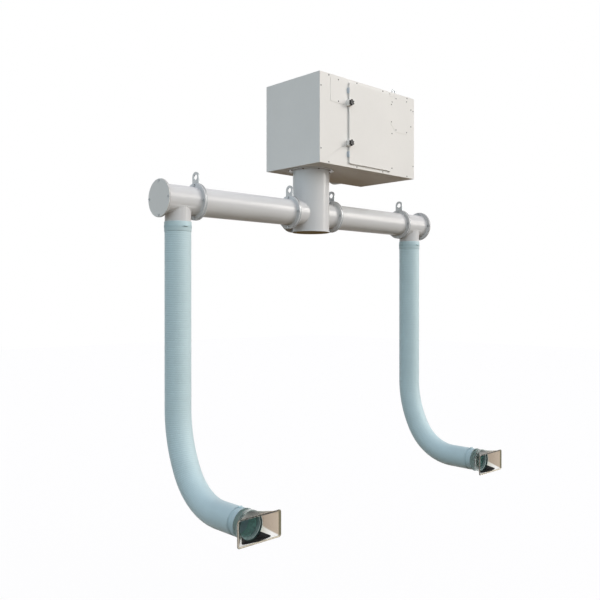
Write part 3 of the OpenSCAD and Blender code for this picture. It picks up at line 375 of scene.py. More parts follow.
def filter_media(name):
    """A card frame round pleated fibre, told apart by their place in the cassette."""
    fibre_half = 0.2335
    m, t = new_material(name)
    _, y, z = t.axes()
    from_y = t.math("ABSOLUTE", t.math("SUBTRACT", y, CASSETTE_Y))
    from_z = t.math("ABSOLUTE", t.math("SUBTRACT", z, CASSETTE_Z))
    edge = t.math("GREATER_THAN", t.math("MAXIMUM", from_y, from_z), fibre_half)
    fibre = t.noise(750.0, detail=5.0, rough=0.7)
    card = t.noise(120.0, detail=4.0, rough=0.6)
    media = t.mix(t.span(fibre, 0.35, 0.7), (0.80, 0.79, 0.74), (0.90, 0.90, 0.87))
    frame_tone = t.mix(t.span(card, 0.35, 0.7), (0.55, 0.56, 0.55), (0.62, 0.63, 0.62))
    base = t.mix(edge, media, frame_tone)
    normal = t.bump(fibre, strength=0.35, distance=0.0006)
    t.principled(Base_Color=base, Roughness=t.span(edge, 0.0, 1.0, 0.92, 0.5), Normal=normal,
                 Specular_IOR_Level=0.25)
    return m


CREAM = (0.800, 0.790, 0.765)
DUCT = (0.630, 0.635, 0.640)
TEAL = (0.500, 0.650, 0.690)

MATERIALS = {
    "cabinet_paint": painted("cabinet_paint_look", CREAM, rough=0.55, peel=0.30, coat=0.06,
                             coat_rough=0.30),
    "duct_paint": painted("duct_paint_look", DUCT, rough=0.50, peel=0.16, coat=0.52,
                          coat_rough=0.09),
    "steel": zinc("steel_look", (0.46, 0.49, 0.505), rough=0.46),
    "dark_steel": zinc("dark_steel_look", (0.085, 0.088, 0.092), rough=0.48),
    "knob_black": moulded("knob_look", (0.012, 0.012, 0.013), rough=0.38, grain=0.25),
    "rubber": moulded("rubber_look", (0.016, 0.016, 0.017), rough=0.62, grain=0.45,
                      specular=0.3),
    "hose": hose_cloth("hose_look", TEAL, weave=0.35),
    "filter": filter_media("filter_look"),
    "hood_clear": hood_plastic("hood_look"),
}
CUFF_LOOK = hose_cloth("cuff_look", tone(TEAL, 0.97), weave=0.05)
CLIP_LOOK = painted("clip_look", tone(TEAL, 0.95), rough=0.60, peel=0.10)
# Near-black teal of the throat ring, partly painted shade inside the throat
RING_LOOK = moulded("ring_look", (0.045, 0.085, 0.085), rough=0.40, grain=0.20)
LIP_LOOK = moulded("lip_look", (0.120, 0.190, 0.190), rough=0.40, grain=0.20)
LINER_LOOK = moulded("liner_look", (0.340, 0.570, 0.530), rough=0.40, grain=0.30)
END_CAP_LOOK = painted("end_cap_look", CREAM, rough=0.50, peel=0.16, coat=0.06)
NODE_LOOKS = {
    "end_cap_left": END_CAP_LOOK,
    "end_cap_right": END_CAP_LOOK,
    # Blue-grey seal: painted cool light in the door's seam
    "door_seal": moulded("door_seal_cool_light_look", (0.300, 0.340, 0.380), rough=0.55, grain=0.40,
                         specular=0.2),
    # Light blue-grey guides: painted cool light on their faces
    "edge_guides": painted("edge_guide_cool_light_look", (0.560, 0.620, 0.670), rough=0.45, peel=0.15,
                           coat=0.10),
    # Light bluish ears: painted cool light on their faces
    "clamp_sockets": painted("ear_cool_light_look", (0.640, 0.700, 0.750), rough=0.45, peel=0.15,
                             coat=0.10),
    "column_base_cap": painted("base_cap_look", DUCT, rough=0.55, peel=0.16),
    # Dark brown bolts: painted shade under the cabinet
    "column_bolts": zinc("column_bolt_shade_look", (0.210, 0.195, 0.175), rough=0.50),
}


# Mesh helpers

def piece(name, verts, faces, look, body, uvs=None):
    """A mesh object in the row frame that rides on a body, where one is given; uvs has one
    pair for each corner of each face."""
    mesh = bpy.data.meshes.new(name)
    mesh.from_pydata([tuple(v) for v in verts], [], faces)
    if uvs:
        layer = mesh.uv_layers.new(name="along")
        for loop, uv in zip(layer.data, uvs):
            loop.uv = uv
    bm = bmesh.new()
    bm.from_mesh(mesh)
    bmesh.ops.remove_doubles(bm, verts=bm.verts, dist=MERGE_GAP)
    bmesh.ops.recalc_face_normals(bm, faces=bm.faces)
    bm.to_mesh(mesh)
    bm.free()
    mesh.polygons.foreach_set("use_smooth", [True] * len(mesh.polygons))
    mesh.materials.append(look)
    obj = linked(name, mesh)
    if body:
        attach(obj, body)
    return obj


def along(axis, origin):
    """Matrix that takes local Z to an axis and local zero to an origin."""
    turn = Vector(axis).to_track_quat("Z", "Y").to_matrix().to_4x4()
    return Matrix.Translation(origin) @ turn


def turned(profile, places, sides=ROUND_SIDES):
    """Verts and faces of a closed profile of (radius, height) turned about each place's Z."""
    verts, faces = [], []
    n = len(profile)
    for place in places:
        start = len(verts)
        for k in range(sides):
            a = TAU * k / sides
            for r, h in profile:
                verts.append(place @ Vector((r * math.cos(a), r * math.sin(a), h)))
        for k in range(sides):
            for i in range(n):
                a, b = start + k * n + i, start + k * n + (i + 1) % n
                c = start + (k + 1) % sides * n
                faces.append((a, b, c + (i + 1) % n, c + i))
    return verts, faces


def bar(r0, r1, h0, h1):
    """Rectangular profile between two radii and two heights."""
    return [(r0, h0), (r1, h0), (r1, h1), (r0, h1)]


def rounded(points, radius, steps):
    """A closed profile with each of its corners rounded off by short chords."""
    longest_cut = 0.45
    out = []
    n = len(points)
    for i in range(n):
        p, q, s = Vector(points[i - 1]), Vector(points[i]), Vector(points[(i + 1) % n])
        cut = min(radius, longest_cut * (p - q).length, longest_cut * (s - q).length)
        a, b = q + (p - q).normalized() * cut, q + (s - q).normalized() * cut
        for k in range(steps + 1):
            f = k / steps
            out.append(tuple((1 - f) ** 2 * a + 2 * f * (1 - f) * q + f * f * b))
    return out


def bands(rings, sides, start=0, closed=False):
    """Faces from each ring of points to the next, and from the last back to the first."""
    faces = []
    for i in range(rings if closed else rings - 1):
        a, b = start + i * sides, start + (i + 1) % rings * sides
        for k in range(sides):
            j = (k + 1) % sides
            faces.append((a + k, a + j, b + j, b + k))
    return faces


def joined(parts):
    """One list of verts and faces out of several."""
    verts, faces = [], []
    for v, f in parts:
        start = len(verts)
        verts += list(v)
        faces += [tuple(i + start for i in face) for face in f]
    return verts, faces


# Hoses

RIB_PITCH = 0.0135
RIB_SIDES = 56
RIB_STEPS = 6
RIB_DIP = 0.0007
RIB_PROFILE = tuple((i / RIB_STEPS, -RIB_DIP * (0.5 - 0.5 * math.cos(TAU * i / RIB_STEPS)))
                    for i in range(RIB_STEPS))
# How far the hose's end reaches into the top cuff
HOSE_TUCK = 0.002


def hose_at(s):
    """Middle of the hose at a length along it: Y, Z and the angle it has turned."""
    s2, s3 = DROP_L + WIDE_L, DROP_L + WIDE_L + TIGHT_L
    z1 = HOSE_TOP_Z - DROP_L
    if s <= DROP_L:
        return 0.0, HOSE_TOP_Z - s, 0.0
    if s <= s2:
        a = (s - DROP_L) / WIDE_L * WIDE_A
        return -WIDE_R * (1 - math.cos(a)), z1 - WIDE_R * math.sin(a), a
    if s <= s3:
        a = WIDE_A + (s - s2) / TIGHT_L * TIGHT_A
        return BEND_Y + TIGHT_R * math.cos(a), BEND_Z + TIGHT_R * (1 - math.sin(a)), a
    return BEND_Y - (s - s3), BEND_Z, math.pi / 2


def hose_point(x, s, r, a):
    y, z, turn = hose_at(s)
    return (x + r * math.cos(a), y + r * math.sin(a) * math.cos(turn),
            z - r * math.sin(a) * math.sin(turn))


def helical_hose(x, s0, s1):
    """The outside of a wire-wound hose, whose rib climbs one pitch in each turn."""
    rings = (int((s1 - s0) / RIB_PITCH) + 2) * RIB_STEPS
    verts, faces, uvs = [], [], []
    for i in range(rings):
        f, dip = RIB_PROFILE[i % RIB_STEPS]
        for k in range(RIB_SIDES):
            share = k / RIB_SIDES
            s = s0 + (i // RIB_STEPS - 1 + f + share) * RIB_PITCH
            verts.append(hose_point(x, min(max(s, s0), s1), HOSE_R + dip, TAU * share))

    def corner(i, k):
        wrap = k // RIB_SIDES
        return min(i + wrap * RIB_STEPS, rings - 1) * RIB_SIDES + k % RIB_SIDES

    def uv(i, k):
        return i // RIB_STEPS + RIB_PROFILE[i % RIB_STEPS][0], k / RIB_SIDES

    for i in range(rings - 1):
        for k in range(RIB_SIDES):
            if k == RIB_SIDES - 1 and i + RIB_STEPS + 1 > rings - 1:
                continue
            quad = ((i, k), (i + 1, k), (i + 1, k + 1), (i, k + 1))
            faces.append(tuple(corner(*at) for at in quad))
            uvs += [uv(*at) for at in quad]
    return verts, faces, uvs


def hose_mesh(side, x):
    """The whole hose from inside the top cuff to its end: ribs, bore and both rims."""
    s0, s1 = CUFF_L - HOSE_TUCK, HOSE_L
    verts, faces, uvs = helical_hose(x, s0, s1)
    count = 2 * int((s1 - s0) / RIB_PITCH)
    first = len(verts)
    for i in range(count + 1):
        s = s0 + (s1 - s0) * i / count
        for k in range(RIB_SIDES):
            verts.append(hose_point(x, s, BORE_R + RIB_DIP * (i % 2), TAU * k / RIB_SIDES))
    faces += bands(count + 1, RIB_SIDES, first)
    for i in range(count):
        for k in range(RIB_SIDES):
            for u, v in ((i, k), (i, k + 1), (i + 1, k + 1), (i + 1, k)):
                uvs.append((u * (s1 - s0) / count / RIB_PITCH, v / RIB_SIDES))
    rim_r = HOSE_R - RIB_H / 2
    for s, ring in ((s0, first), (s1, first + count * RIB_SIDES)):
        start = len(verts)
        for k in range(RIB_SIDES):
            j = (k + 1) % RIB_SIDES
            verts.append(hose_point(x, s, rim_r, TAU * k / RIB_SIDES))
            faces.append((ring + k, ring + j, start + j, start + k))
            uvs += [(0.0, k / RIB_SIDES)] * 4
    obj = piece("hose_" + side, verts, faces, MATERIALS["hose"], None, uvs)
    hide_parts("hose_drop_" + side, "hose_bend_" + side)
    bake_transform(obj)


# Cuffs and clips

CUFF_EDGE_L, LIP_CHAMFER, END_CHAMFER = 0.0015, 0.0006, 0.0008
BORE_CHAMFER, BORE_CHAMFER_L = 0.0004, 0.001
GROOVE_DEPTH, GROOVE_HALF, GROOVE_FLOOR_HALF = 0.0009, 0.0022, 0.0012
END_CLIP_INSET = 0.006
# U on a cuff stays within a quarter of a rib's pitch, so its cloth shows no ribs
CUFF_U, CUFF_U_SPAN = 0.25, 0.25


def cuff(name, body, node, place, outer, length, grooves):
    """Moulded cuff along Z from its lip: soft edges and shallow grooves round it."""
    profile = [(outer - LIP_CHAMFER, 0.0), (outer, CUFF_EDGE_L)]
    floor = outer - GROOVE_DEPTH
    for i in range(grooves):
        h = length * (i + 1) / (grooves + 1)
        profile += [(outer, h - GROOVE_HALF), (floor, h - GROOVE_FLOOR_HALF),
                    (floor, h + GROOVE_FLOOR_HALF), (outer, h + GROOVE_HALF)]
    inner = outer - CUFF_WALL
    profile += [(outer, length - CUFF_EDGE_L), (outer - END_CHAMFER, length),
                (inner + BORE_CHAMFER, length), (inner, length - BORE_CHAMFER_L),
                (inner, CUFF_WALL), (BORE_R, CUFF_WALL), (BORE_R, 0.0)]
    verts, faces = turned(profile, [place])
    uvs = []
    n = len(profile)
    for k in range(ROUND_SIDES):
        for i in range(n):
            j = (i + 1) % n
            for a, b in ((i, k), (j, k), (j, k + 1), (i, k + 1)):
                uvs.append((CUFF_U + profile[a][1] / length * CUFF_U_SPAN, b / ROUND_SIDES))
    obj = piece(name, verts, faces, CUFF_LOOK, body, uvs)
    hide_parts(node)


def clip(name, body, node, place, seat):
    """Worm-drive clip: a band with rolled edges and slots, its housing and its screw."""
    band_t, edge_t, edge_w = 0.0009, 0.0013, 0.0014
    housing_rise, housing_half, housing_r = 0.0046, 0.0105, 0.0044
    shoulder_r, shoulder_at = 0.0040, 0.008
    head_r, head_end, socket_r, socket_end = 0.0038, 0.0150, 0.0020, 0.0138
    slots, first_slot, slot_step = 9, 100, 3.2
    slot_r, slot_t = 0.0009, 0.0003

    band = rounded(bar(seat, seat + band_t, 0.0, CLIP_W), 0.0004, 2)
    parts = [turned(band, [place], 96)]
    for h in (0.0, CLIP_W - edge_w):
        edge = rounded(bar(seat, seat + edge_t, h, h + edge_w), 0.0006, 3)
        parts.append(turned(edge, [place], 96))
    screw = place @ along(RIGHT, Vector((0, seat + housing_rise, CLIP_W / 2)))
    housing = [(NEAR_AXIS, -housing_half), (shoulder_r, -housing_half),
               (housing_r, -shoulder_at), (housing_r, shoulder_at),
               (shoulder_r, housing_half), (NEAR_AXIS, housing_half)]
    parts.append(turned(rounded(housing, 0.0008, 2), [screw], 24))
    head = [(NEAR_AXIS, housing_half), (head_r, housing_half), (head_r, head_end),
            (socket_r + 0.0002, head_end + 0.0002), (socket_r, socket_end),
            (NEAR_AXIS, socket_end)]
    parts.append(turned(rounded(head, 0.0004, 2), [screw], 6))
    slot = rounded(bar(NEAR_AXIS, slot_r, 0.0, slot_t), 0.0001, 1)
    for i in range(slots):
        a = math.radians(first_slot + slot_step * i)
        p = Vector((math.cos(a), math.sin(a), 0)) * (seat + band_t)
        at = place @ along(p.normalized(), p + Vector((0, 0, CLIP_W / 2)))
        parts.append(turned(slot, [at], 8))
    verts, faces = joined(parts)
    obj = piece(name, verts, faces, CLIP_LOOK, body)
    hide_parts(node)


# Hoods

# Height along the collar and growth over its tube: a bead at its open end, one at the throat
COLLAR_PROFILE = ((0.0, 0.0012), (0.0008, 0.0020), (0.0032, 0.0020), (0.0044, 0.0),
                  (0.0240, 0.0), (0.0442, 0.0), (0.0452, 0.0014), (0.0462, 0.0018),
                  (0.0482, 0.0018), (0.0492, 0.0012), (0.0502, 0.0))
# Height over the rim's foot and growth over the flare's mouth
RIM_PROFILE = ((-0.0012, 0.0004), (0.0, 0.0030), (0.0008, RIM_W), (RIM_W - 0.0010, RIM_W),
               (RIM_W, RIM_W - 0.0012))
# The flare's outside stops this far below the rim's foot
RIM_CLEAR = 0.0015
FLARE_STEPS = 16
FLARE_ACROSS, FLARE_UP = 1.15, 1.7
# Shares of a quadrant's turn at which the mouth's corner starts and ends
CORNER_SHARES = (24 / 90, 62 / 90)


def flare_shares(s):
    """How far the flare has gone from round to its mouth, across and up, at a share of it."""
    return s ** FLARE_ACROSS, 1 - (1 - s) ** FLARE_UP


def mouth_quadrant(hw, hh, r):
    """A quadrant of a round-cornered rectangle from +X to +Z, each point with its share of
    the quarter circle that it grows out of."""
    side_n, arc_n, top_n = 10, 12, 14
    low, high = CORNER_SHARES
    out = []
    for i in range(side_n):
        f = i / side_n
        out.append((hw, f * (hh - r), f * low))
    for i in range(arc_n):
        f = i / arc_n
        a = f * math.pi / 2
        out.append((hw - r + r * math.cos(a), hh - r + r * math.sin(a), low + f * (high - low)))
    for i in range(top_n):
        f = i / top_n
        out.append(((1 - f) * (hw - r), hh, high + f * (1 - high)))
    return out


def hood_section(radius, hw, hh, r, wide=0, tall=0):
    """Points of one section as (across, up); wide and tall run from 0, round, to 1, mouth."""
    forth = mouth_quadrant(hw, hh, r)
    back = list(reversed(forth[1:] + [(0.0, hh, 1.0)]))
    points = []
    for turn in range(4):
        su = -1 if turn in (1, 2) else 1
        sv = -1 if turn in (2, 3) else 1
        for u, v, share in back if turn % 2 else forth:
            a = share * math.pi / 2
            pu = (1 - wide) * radius * math.cos(a) + wide * u
            pv = (1 - tall) * radius * math.sin(a) + tall * v
            points.append((su * pu, sv * pv))
    return points


def hood(side, x):
    """Clear hood: a beaded collar, a trumpet flare from round to rectangle, a thick rim."""
    r_in = END_CUFF_R + CUFF_FIT
    r_out = r_in + HOOD_WALL
    outer = (HOOD_W / 2 - RIM_W, HOOD_H / 2 - RIM_W, HOOD_CORNER)
    inner = tuple(size - HOOD_WALL for size in outer)
    rim = COLLAR_L + FLARE_L - RIM_W

    out_rings = [(h, hood_section(r_out + grow, *outer)) for h, grow in COLLAR_PROFILE]
    in_rings = [(h, hood_section(r_in, *outer)) for h in (0.0, COLLAR_L * 0.5)]
    for i in range(FLARE_STEPS + 1):
        s = i / FLARE_STEPS
        h = COLLAR_L + FLARE_L * s
        if h < rim - RIM_CLEAR:
            out_rings.append((h, hood_section(r_out, *outer, *flare_shares(s))))
        in_rings.append((h, hood_section(r_in, *inner, *flare_shares(s))))
    for rise, grow in RIM_PROFILE:
        s = 1.0 if rise >= 0 else (rim + rise - COLLAR_L) / FLARE_L
        grown = (size + grow for size in outer)
        out_rings.append((rim + rise, hood_section(r_out, *grown, *flare_shares(s))))

    rings = out_rings + in_rings[::-1]
    verts = [(x + u, COLLAR_Y - h, BEND_Z + v) for h, ring in rings for u, v in ring]
    faces = bands(len(rings), len(rings[0][1]), closed=True)
    obj = piece("hood_shell_" + side, verts, faces, MATERIALS["hood_clear"],
                "suction_hood_" + side)
    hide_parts("hood_" + side)
    throat_ring(side, x, r_in)
    throat_shade_pad(side, x, r_in, inner)


def throat_ring(side, x, radius):
    """Dark ring inside the collar, in front of the end cuff; its near-black teal is partly
    painted shade, for the dark inside the throat.
    """
    length, fit, crest_in, crest_h, inner_in = 0.0130, 0.0002, 0.0014, 0.0008, 0.0022
    low, top = COLLAR_L - length, COLLAR_L
    ring = rounded([(radius - fit, low), (radius - fit, top),
                    (radius - crest_in, top + crest_h), (radius - inner_in, top),
                    (radius - inner_in, low)], 0.0006, 2)
    verts, faces = turned(ring, [along(FORWARD, (x, COLLAR_Y, BEND_Z))])
    piece("throat_ring_" + side, verts, faces, RING_LOOK, "suction_hood_" + side)


def throat_shade_pad(side, x, radius, inner):
    """A black pad with the rubber's look, a painted shade for the dark on the hood's floor: in
    the middle it comes near the mouth, and its two ends run up into the corners."""
    half_angle, rows, columns = 57.0, 10, 40
    end_reach, middle_reach, middle_half = 0.60, 0.33, 0.70
    round_from, least_reach = 0.76, 0.02
    throat_gap, underside, top = 0.001, 0.0004, 0.0020
    skin = []
    for i in range(rows + 1):
        row = []
        for j in range(columns + 1):
            side_share = 2 * j / columns - 1
            t = abs(side_share)
            reach = end_reach + middle_reach * max(0.0, 1 - t / middle_half)
            past = max(0.0, (t - round_from) / (1 - round_from))
            reach *= math.sqrt(max(0.0, 1 - past ** 2)) + least_reach
            s = reach * i / rows
            section = hood_section(radius, *inner, *flare_shares(s))
            n = len(section)
            place = 3 * n // 4 + half_angle / 360 * n * side_share
            k, f = int(math.floor(place)), place - math.floor(place)
            a, b = Vector(section[k % n]), Vector(section[(k + 1) % n])
            row.append((a + (b - a) * f, THROAT_Y - throat_gap - FLARE_L * s))
        skin.append(row)
    verts = []
    for lift in (underside, top):
        for row in skin:
            for p, y in row:
                inward = -p.normalized() * lift
                verts.append((x + p.x + inward.x, y, BEND_Z + p.y + inward.y))
    m = columns + 1
    layer = (rows + 1) * m
    faces = []
    for base, flip in ((0, False), (layer, True)):
        for i in range(rows):
            for j in range(columns):
                a, b = base + i * m + j, base + (i + 1) * m + j
                quad = (a, a + 1, b + 1, b)
                faces.append(quad[::-1] if flip else quad)
    edge = list(range(m))
    edge += [i * m + columns for i in range(1, rows + 1)]
    edge += [rows * m + j for j in range(columns - 1, -1, -1)]
    edge += [i * m for i in range(rows - 1, 0, -1)]
    for a, b in zip(edge, edge[1:] + edge[:1]):
        faces.append((a, b, b + layer, a + layer))
    piece("throat_shade_pad_" + side, verts, faces, MATERIALS["rubber"], "suction_hood_" + side)


# Radius and height of the liner lip's outline, from the cuff's open end
LINER_LIP = ((0.0785, 0.0000), (0.0785, 0.0022), (0.0735, 0.0022), (0.0640, -0.0085),
             (0.0640, -0.0110), (0.0655, -0.0110), (0.0745, 0.0000))


def bore_liner(side, x):
    """The ribbed liner inside the end cuff, and the dark teal lip that holds it at the open
    end."""
    ribs, steps, wave, wall = 8, 4, 0.0011, 0.0022
    fit, overlap = 0.0001, 0.0005
    start, end = HOSE_END_Y + overlap, HOSE_END_Y - LONG_CUFF_L
    outer = END_CUFF_R - (CUFF_WALL + fit)
    length = start - end
    profile = [(outer, 0.0), (outer, length)]
    for i in range(steps * ribs, -1, -1):
        profile.append((outer - wall - wave * math.cos(TAU * i / steps),
                        length * i / (steps * ribs)))
    verts, faces = turned(profile, [along(FORWARD, (x, start, BEND_Z))])
    piece("bore_liner_" + side, verts, faces, LINER_LOOK, "nozzle_" + side)
    verts, faces = turned(rounded(LINER_LIP, 0.0010, 2), [along(FORWARD, (x, end, BEND_Z))])
    piece("liner_lip_" + side, verts, faces, LIP_LOOK, "nozzle_" + side)


def arm(side, x):
    """One arm, from the cuff on its spigot to its hood."""
    hose, nozzle = "hose_" + side, "nozzle_" + side
    hose_mesh(side, x)
    hood(side, x)
    cuff("top_cuff_" + side, hose, "upper_cuff_" + side,
         along(UP, (x, 0, HOSE_TOP_Z - CUFF_L)), TOP_CUFF_R, CUFF_L, grooves=0)
    clip("top_clip_" + side, hose, "upper_clip_" + side,
         along(UP, (x, 0, HOSE_TOP_Z - CUFF_L / 2 - CLIP_W / 2)), TOP_CUFF_R)
    cuff("end_cuff_" + side, nozzle, "lower_cuff_" + side,
         along(FORWARD, (x, HOSE_END_Y, BEND_Z)), END_CUFF_R, LONG_CUFF_L, grooves=3)
    bore_liner(side, x)
    clip("end_clip_" + side, nozzle, "lower_clip_" + side,
         along(FORWARD, (x, HOSE_END_Y - END_CLIP_INSET, BEND_Z)), END_CUFF_R)


# Star knobs with their studs

# Height of each ring of the knob, and its size as a share of the knob's
KNOB_LEVELS = ((0.0000, 0.62), (0.0004, 0.90), (0.0016, 0.975), (0.0032, 1.0), (0.0100, 1.0),
               (0.0125, 0.975), (0.0142, 0.92), (0.0150, 0.82), (0.0150, 0.55),
               (0.0142, 0.46), (0.0142, 0.30), (0.0156, 0.24), (0.0158, 0.10))
KNOB_SIDES, KNOB_LOBES = 96, 6
KNOB_CORE_R, KNOB_TIP_R = 0.0152, 0.0225
# The size at which the lobes start to show and what they take to be full, and their shape
LOBES_FROM, LOBES_SPAN, LOBE_POWER = 0.5, 0.3, 0.85
KNOB_LIFT = 0.003
NECK_R, NECK_TOP_R, NECK_FOOT, NECK_TOP = 0.0094, 0.0098, -0.0027, 0.0006
STUD_R, STUD_TIP_R, STUD_END = 0.0040, 0.0030, -0.0450
SHANK_FROM, SHANK_TO = -0.0105, -0.0010
THREAD_TURNS, THREAD_PITCH, THREAD_START = 26, 0.00125, -0.0445
THREAD_ROOT_R, THREAD_HALF = 0.0034, 0.0006


def star_knob(which):
    """Six-lobed moulded knob: soft shoulders, a dished cap, a neck and a threaded stud."""
    body, node = "knob_" + which, "star_knob_" + which
    place = along(FORWARD, (STUD_X, EAR_FRONT_Y - KNOB_LIFT, CLAMP_Z[which]))
    verts = []
    for h, size in KNOB_LEVELS:
        lobed = min(1.0, max(0.0, (size - LOBES_FROM) / LOBES_SPAN))
        for k in range(KNOB_SIDES):
            a = TAU * k / KNOB_SIDES
            wave = 0.5 + 0.5 * math.cos(KNOB_LOBES * (a - math.pi / 2))
            r = KNOB_CORE_R + (KNOB_TIP_R - KNOB_CORE_R) * wave ** LOBE_POWER
            r = (r * lobed + KNOB_CORE_R * (1 - lobed)) * size
            verts.append(place @ Vector((r * math.cos(a), r * math.sin(a), h)))
    faces = bands(len(KNOB_LEVELS), KNOB_SIDES)
    top = (len(KNOB_LEVELS) - 1) * KNOB_SIDES
    faces.append(tuple(range(top, top + KNOB_SIDES)))
    faces.append(tuple(reversed(range(KNOB_SIDES))))
    neck = rounded([(NEAR_AXIS, NECK_FOOT), (NECK_R, NECK_FOOT), (NECK_TOP_R, NECK_TOP),
                    (NEAR_AXIS, NECK_TOP)], 0.0005, 2)
    verts, faces = joined([(verts, faces), turned(neck, [place], 48)])
    knob = piece("knob_" + which, verts, faces, MATERIALS["knob_black"], body)

    stud = [(NEAR_AXIS, STUD_END), (STUD_TIP_R, STUD_END)]
    for i in range(THREAD_TURNS):
        h = THREAD_START + i * THREAD_PITCH
        stud += [(THREAD_ROOT_R, h), (STUD_R, h + THREAD_HALF)]
    stud += [(STUD_R - 0.0002, SHANK_FROM - 0.0005), (STUD_R, SHANK_FROM),
             (STUD_R, SHANK_TO), (NEAR_AXIS, SHANK_TO)]
    verts, faces = turned(stud, [place], 32)
    bolt = piece("stud_" + which, verts, faces, MATERIALS["steel"], body)
    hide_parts(node)
    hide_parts(node)


# Small parts of the ducts

WASHER_HOLE_R, WASHER_R, WASHER_T = 0.0042, 0.0088, 0.0015
BEAD_STEPS, BEAD_SIDES = 160, 8
BEAD_R, BEAD_RIPPLE, RIPPLE_STEPS = 0.0022, 0.18, 5


def washers():
    """Plain washers under the heads and nuts of every flange joint."""
    ring = rounded(bar(WASHER_HOLE_R, WASHER_R, 0.0, WASHER_T), 0.0004, 2)
    places = []
    for k in range(4):
        a = math.pi / 2 * k
        off, z = BOLT_CIRCLE_R * math.cos(a), DUCT_Z + BOLT_CIRCLE_R * math.sin(a)
        for sign in (-1, 1):
            for joint in (INNER_JOINT, OUTER_JOINT):
                for face in (-1, 1):
                    places.append(along((sign * face, 0, 0),
                                        (sign * (joint + face * JOINT_HALF), off, z)))
            places.append(along((sign, 0, 0), (sign * DUCT_REACH, off, z)))
            places.append(along((-sign, 0, 0),
                                (sign * (DUCT_REACH - (END_PLATE_T + FLANGE_T)), off, z)))
        places.append(along((0, 1, 0), (off, REAR_PLATE_Y, z)))
    verts, faces = turned(ring, places, 24)
    piece("flange_washers", verts, faces, MATERIALS["steel"], "cabinet")


def gaskets():
    """Thin dark gaskets that show as a line between flange and hanger or end plate."""
    half_t, depth, proud = 0.0006, 0.004, 0.0006
    ring = rounded(bar(FLANGE_R - depth, FLANGE_R + proud, -half_t, half_t), 0.0003, 1)
    half_hanger = HANGER_T / 2
    parts = []
    for sign in (-1, 1):
        for x in (INNER_JOINT - half_hanger, INNER_JOINT + half_hanger,
                  OUTER_JOINT - half_hanger, OUTER_JOINT + half_hanger,
                  DUCT_REACH - END_PLATE_T):
            parts.append(turned(ring, [along(RIGHT, (sign * x, 0, DUCT_Z))]))
    verts, faces = joined(parts)
    piece("flange_gaskets", verts, faces, MATERIALS["rubber"], "cabinet")


def bead_along(points):
    """Verts and faces of a weld bead along a closed line of points, with faint ripples."""
    verts = []
    n = len(points)
    middle = sum((Vector(p) for p in points), Vector()) / n
    for i, p in enumerate(points):
        p = Vector(p)
        t = (Vector(points[(i + 1) % n]) - Vector(points[i - 1])).normalized()
        u = (p - middle).cross(t).normalized()
        w = t.cross(u)
        r = BEAD_R * (1 + BEAD_RIPPLE * math.sin(i * TAU / RIPPLE_STEPS))
        for k in range(BEAD_SIDES):
            a = TAU * k / BEAD_SIDES
            verts.append(p + u * r * math.cos(a) + w * r * math.sin(a))
    return verts, bands(n, BEAD_SIDES, closed=True)


def weld_beads():
    """Weld beads where the tubes meet: the hose spigots, the column's ports."""
    turns = [TAU * k / BEAD_STEPS for k in range(BEAD_STEPS)]
    spigot = [(SPIGOT_R * math.cos(a), SPIGOT_R * math.sin(a)) for a in turns]
    duct = [(DUCT_R * math.cos(a), DUCT_R * math.sin(a)) for a in turns]

    def depth(radius, off):
        return math.sqrt(radius ** 2 - off ** 2)

    lines = []
    for _, sign in SIDES:
        lines.append([(sign * ARM + x, y, DUCT_Z - depth(DUCT_R, y)) for x, y in spigot])
        lines.append([(sign * depth(COLUMN_R, y), y, DUCT_Z + z) for y, z in duct])
    lines.append([(x, depth(COLUMN_R, x), DUCT_Z + z) for x, z in duct])
    verts, faces = joined([bead_along(line) for line in lines])
    piece("weld_beads", verts, faces, MATERIALS["duct_paint"], "cabinet")


# The part's own solids: softened edges and their materials

BEVEL = 0.0007
BEVELS = {
    "door_panel": 0.0016, "roof_eyes": 0.0016, "hinge_brackets": 0.0006,
    "fan_access_cover": 0.0005, "electrical_cover": 0.0005, "edge_guides": 0.0006,
    "column_base_cap": 0.0012, "panel_screws": 0.0003, "pre_filter": 0.0008,
    "main_filter": 0.0010, "flange_bolts": 0.0005, "column_bolts": 0.0005,
}


def dress_solids():
    """Each solid's material, and on those that show its soft edges and even shading."""
    slots = {p["node"]: p["material_slot"] for p in frame["record"]["subparts"]}
    for name, obj in frame["nodes"].items():
        look = NODE_LOOKS.get(name, MATERIALS[slots[name]])
        for s in obj.material_slots:
            s.material = look
        if obj.hide_render:
            continue
        weld = obj.modifiers.new("weld", "WELD")
        weld.merge_threshold = MERGE_GAP
        bevel = obj.modifiers.new("bevel", "BEVEL")
        bevel.width = BEVELS.get(name, BEVEL)
        bevel.segments = 2
        bevel.limit_method = "ANGLE"
        bevel.angle_limit = math.radians(40)
        bevel.use_clamp_overlap = True
        normals = obj.modifiers.new("normals", "WEIGHTED_NORMAL")
        normals.keep_sharp = False


# Light, background and floor

# Soft light of each side of the room, by axis and sign
ROOM = {
    (0, 1): (0.25, 0.25, 0.25), (0, -1): (0.74, 0.97, 1.10),
    (1, 1): (0.58, 0.58, 0.57), (1, -1): (1.68, 1.71, 1.69),
    (2, 1): (0.44, 0.38, 0.46), (2, -1): (0.10, 0.055, 0.01),
}
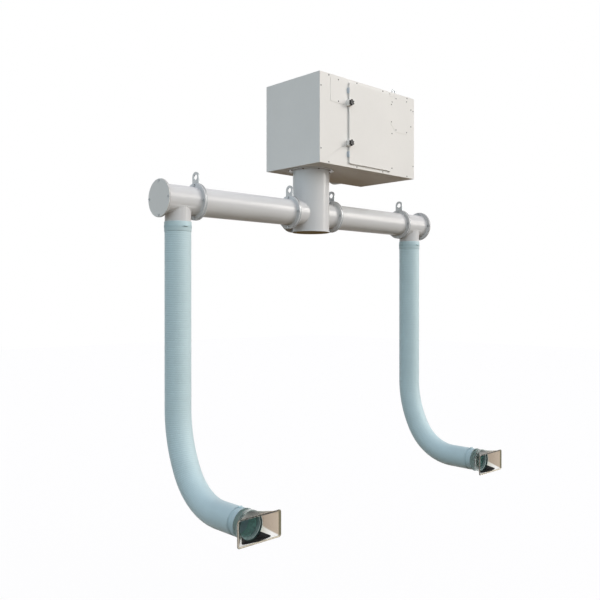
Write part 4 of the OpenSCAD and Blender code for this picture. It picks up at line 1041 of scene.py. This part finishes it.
# Name, direction, strength and angle of each lamp: two halves of one wide lamp, and a narrower
# one that draws the upright tubes' highlight
KEYS = (("key_right", (-0.785, 0.52, -0.335), 0.62, 24),
        ("key_left", (-0.61, 0.675, -0.412), 0.62, 24),
        ("key_edge", (-0.738, 0.664, -0.122), 0.25, 14))
KEY_COLOUR = (1.0, 0.935, 0.88)
FLOOR_Z, FLOOR_HALF = -3.95, 30.0
FLOOR_GLOW = 0.835
FLOOR_TONE = (0.20, 0.20, 0.20)


def make_world():
    """White where it is seen directly; elsewhere each side of the room has its soft light."""
    world = bpy.data.worlds.new("studio")
    bpy.context.scene.world = world
    t = Tree(world)
    direction = t.axes("Generated")
    light = None
    for (axis, sign), colour in ROOM.items():
        share = t.math("MAXIMUM", t.math("MULTIPLY", direction[axis], sign), 0.0)
        lobe = t.mix(t.math("MULTIPLY", share, share), BLACK, colour)
        light = t.mix(1.0, light, lobe, "ADD") if light else lobe
    soft = t.plain("ShaderNodeBackground", light)
    white = t.plain("ShaderNodeBackground", WHITE)
    t.show(t.unseen_or_seen(soft, white), "ShaderNodeOutputWorld")


def make_floor():
    """A pale floor that takes soft shadows and sends a warm light up."""
    m, t = new_material("floor")
    both = t.node("ShaderNodeAddShader")
    t.put(both.inputs[0], t.plain("ShaderNodeEmission", WHITE, FLOOR_GLOW))
    t.put(both.inputs[1], t.plain("ShaderNodeBsdfDiffuse", FLOOR_TONE))
    warm = t.plain("ShaderNodeEmission", ROOM[2, -1])
    t.show(t.unseen_or_seen(warm, both.outputs[0]))
    mesh = bpy.data.meshes.new("floor")
    corners = ((-1, -1), (1, -1), (1, 1), (-1, 1))
    mesh.from_pydata([(FLOOR_HALF * x, FLOOR_HALF * y, FLOOR_Z) for x, y in corners], [],
                     [(0, 1, 2, 3)])
    mesh.materials.append(m)
    linked("floor", mesh)


def sun(name, towards, strength, angle):
    """A lamp as far as the sun; its angle in degrees is how wide it looks."""
    data = bpy.data.lights.new(name, "SUN")
    data.energy = strength
    data.color = KEY_COLOUR
    data.angle = math.radians(angle)
    linked(name, data).rotation_euler = facing(towards)


make_camera()
for side_name, sign_x in SIDES:
    arm(side_name, sign_x * ARM)
for which_knob in ("upper", "lower"):
    star_knob(which_knob)
washers()
gaskets()
weld_beads()
dress_solids()
make_world()
make_floor()
for key in KEYS:
    sun(*key)
bpy.context.scene.view_settings.view_transform = "Standard"
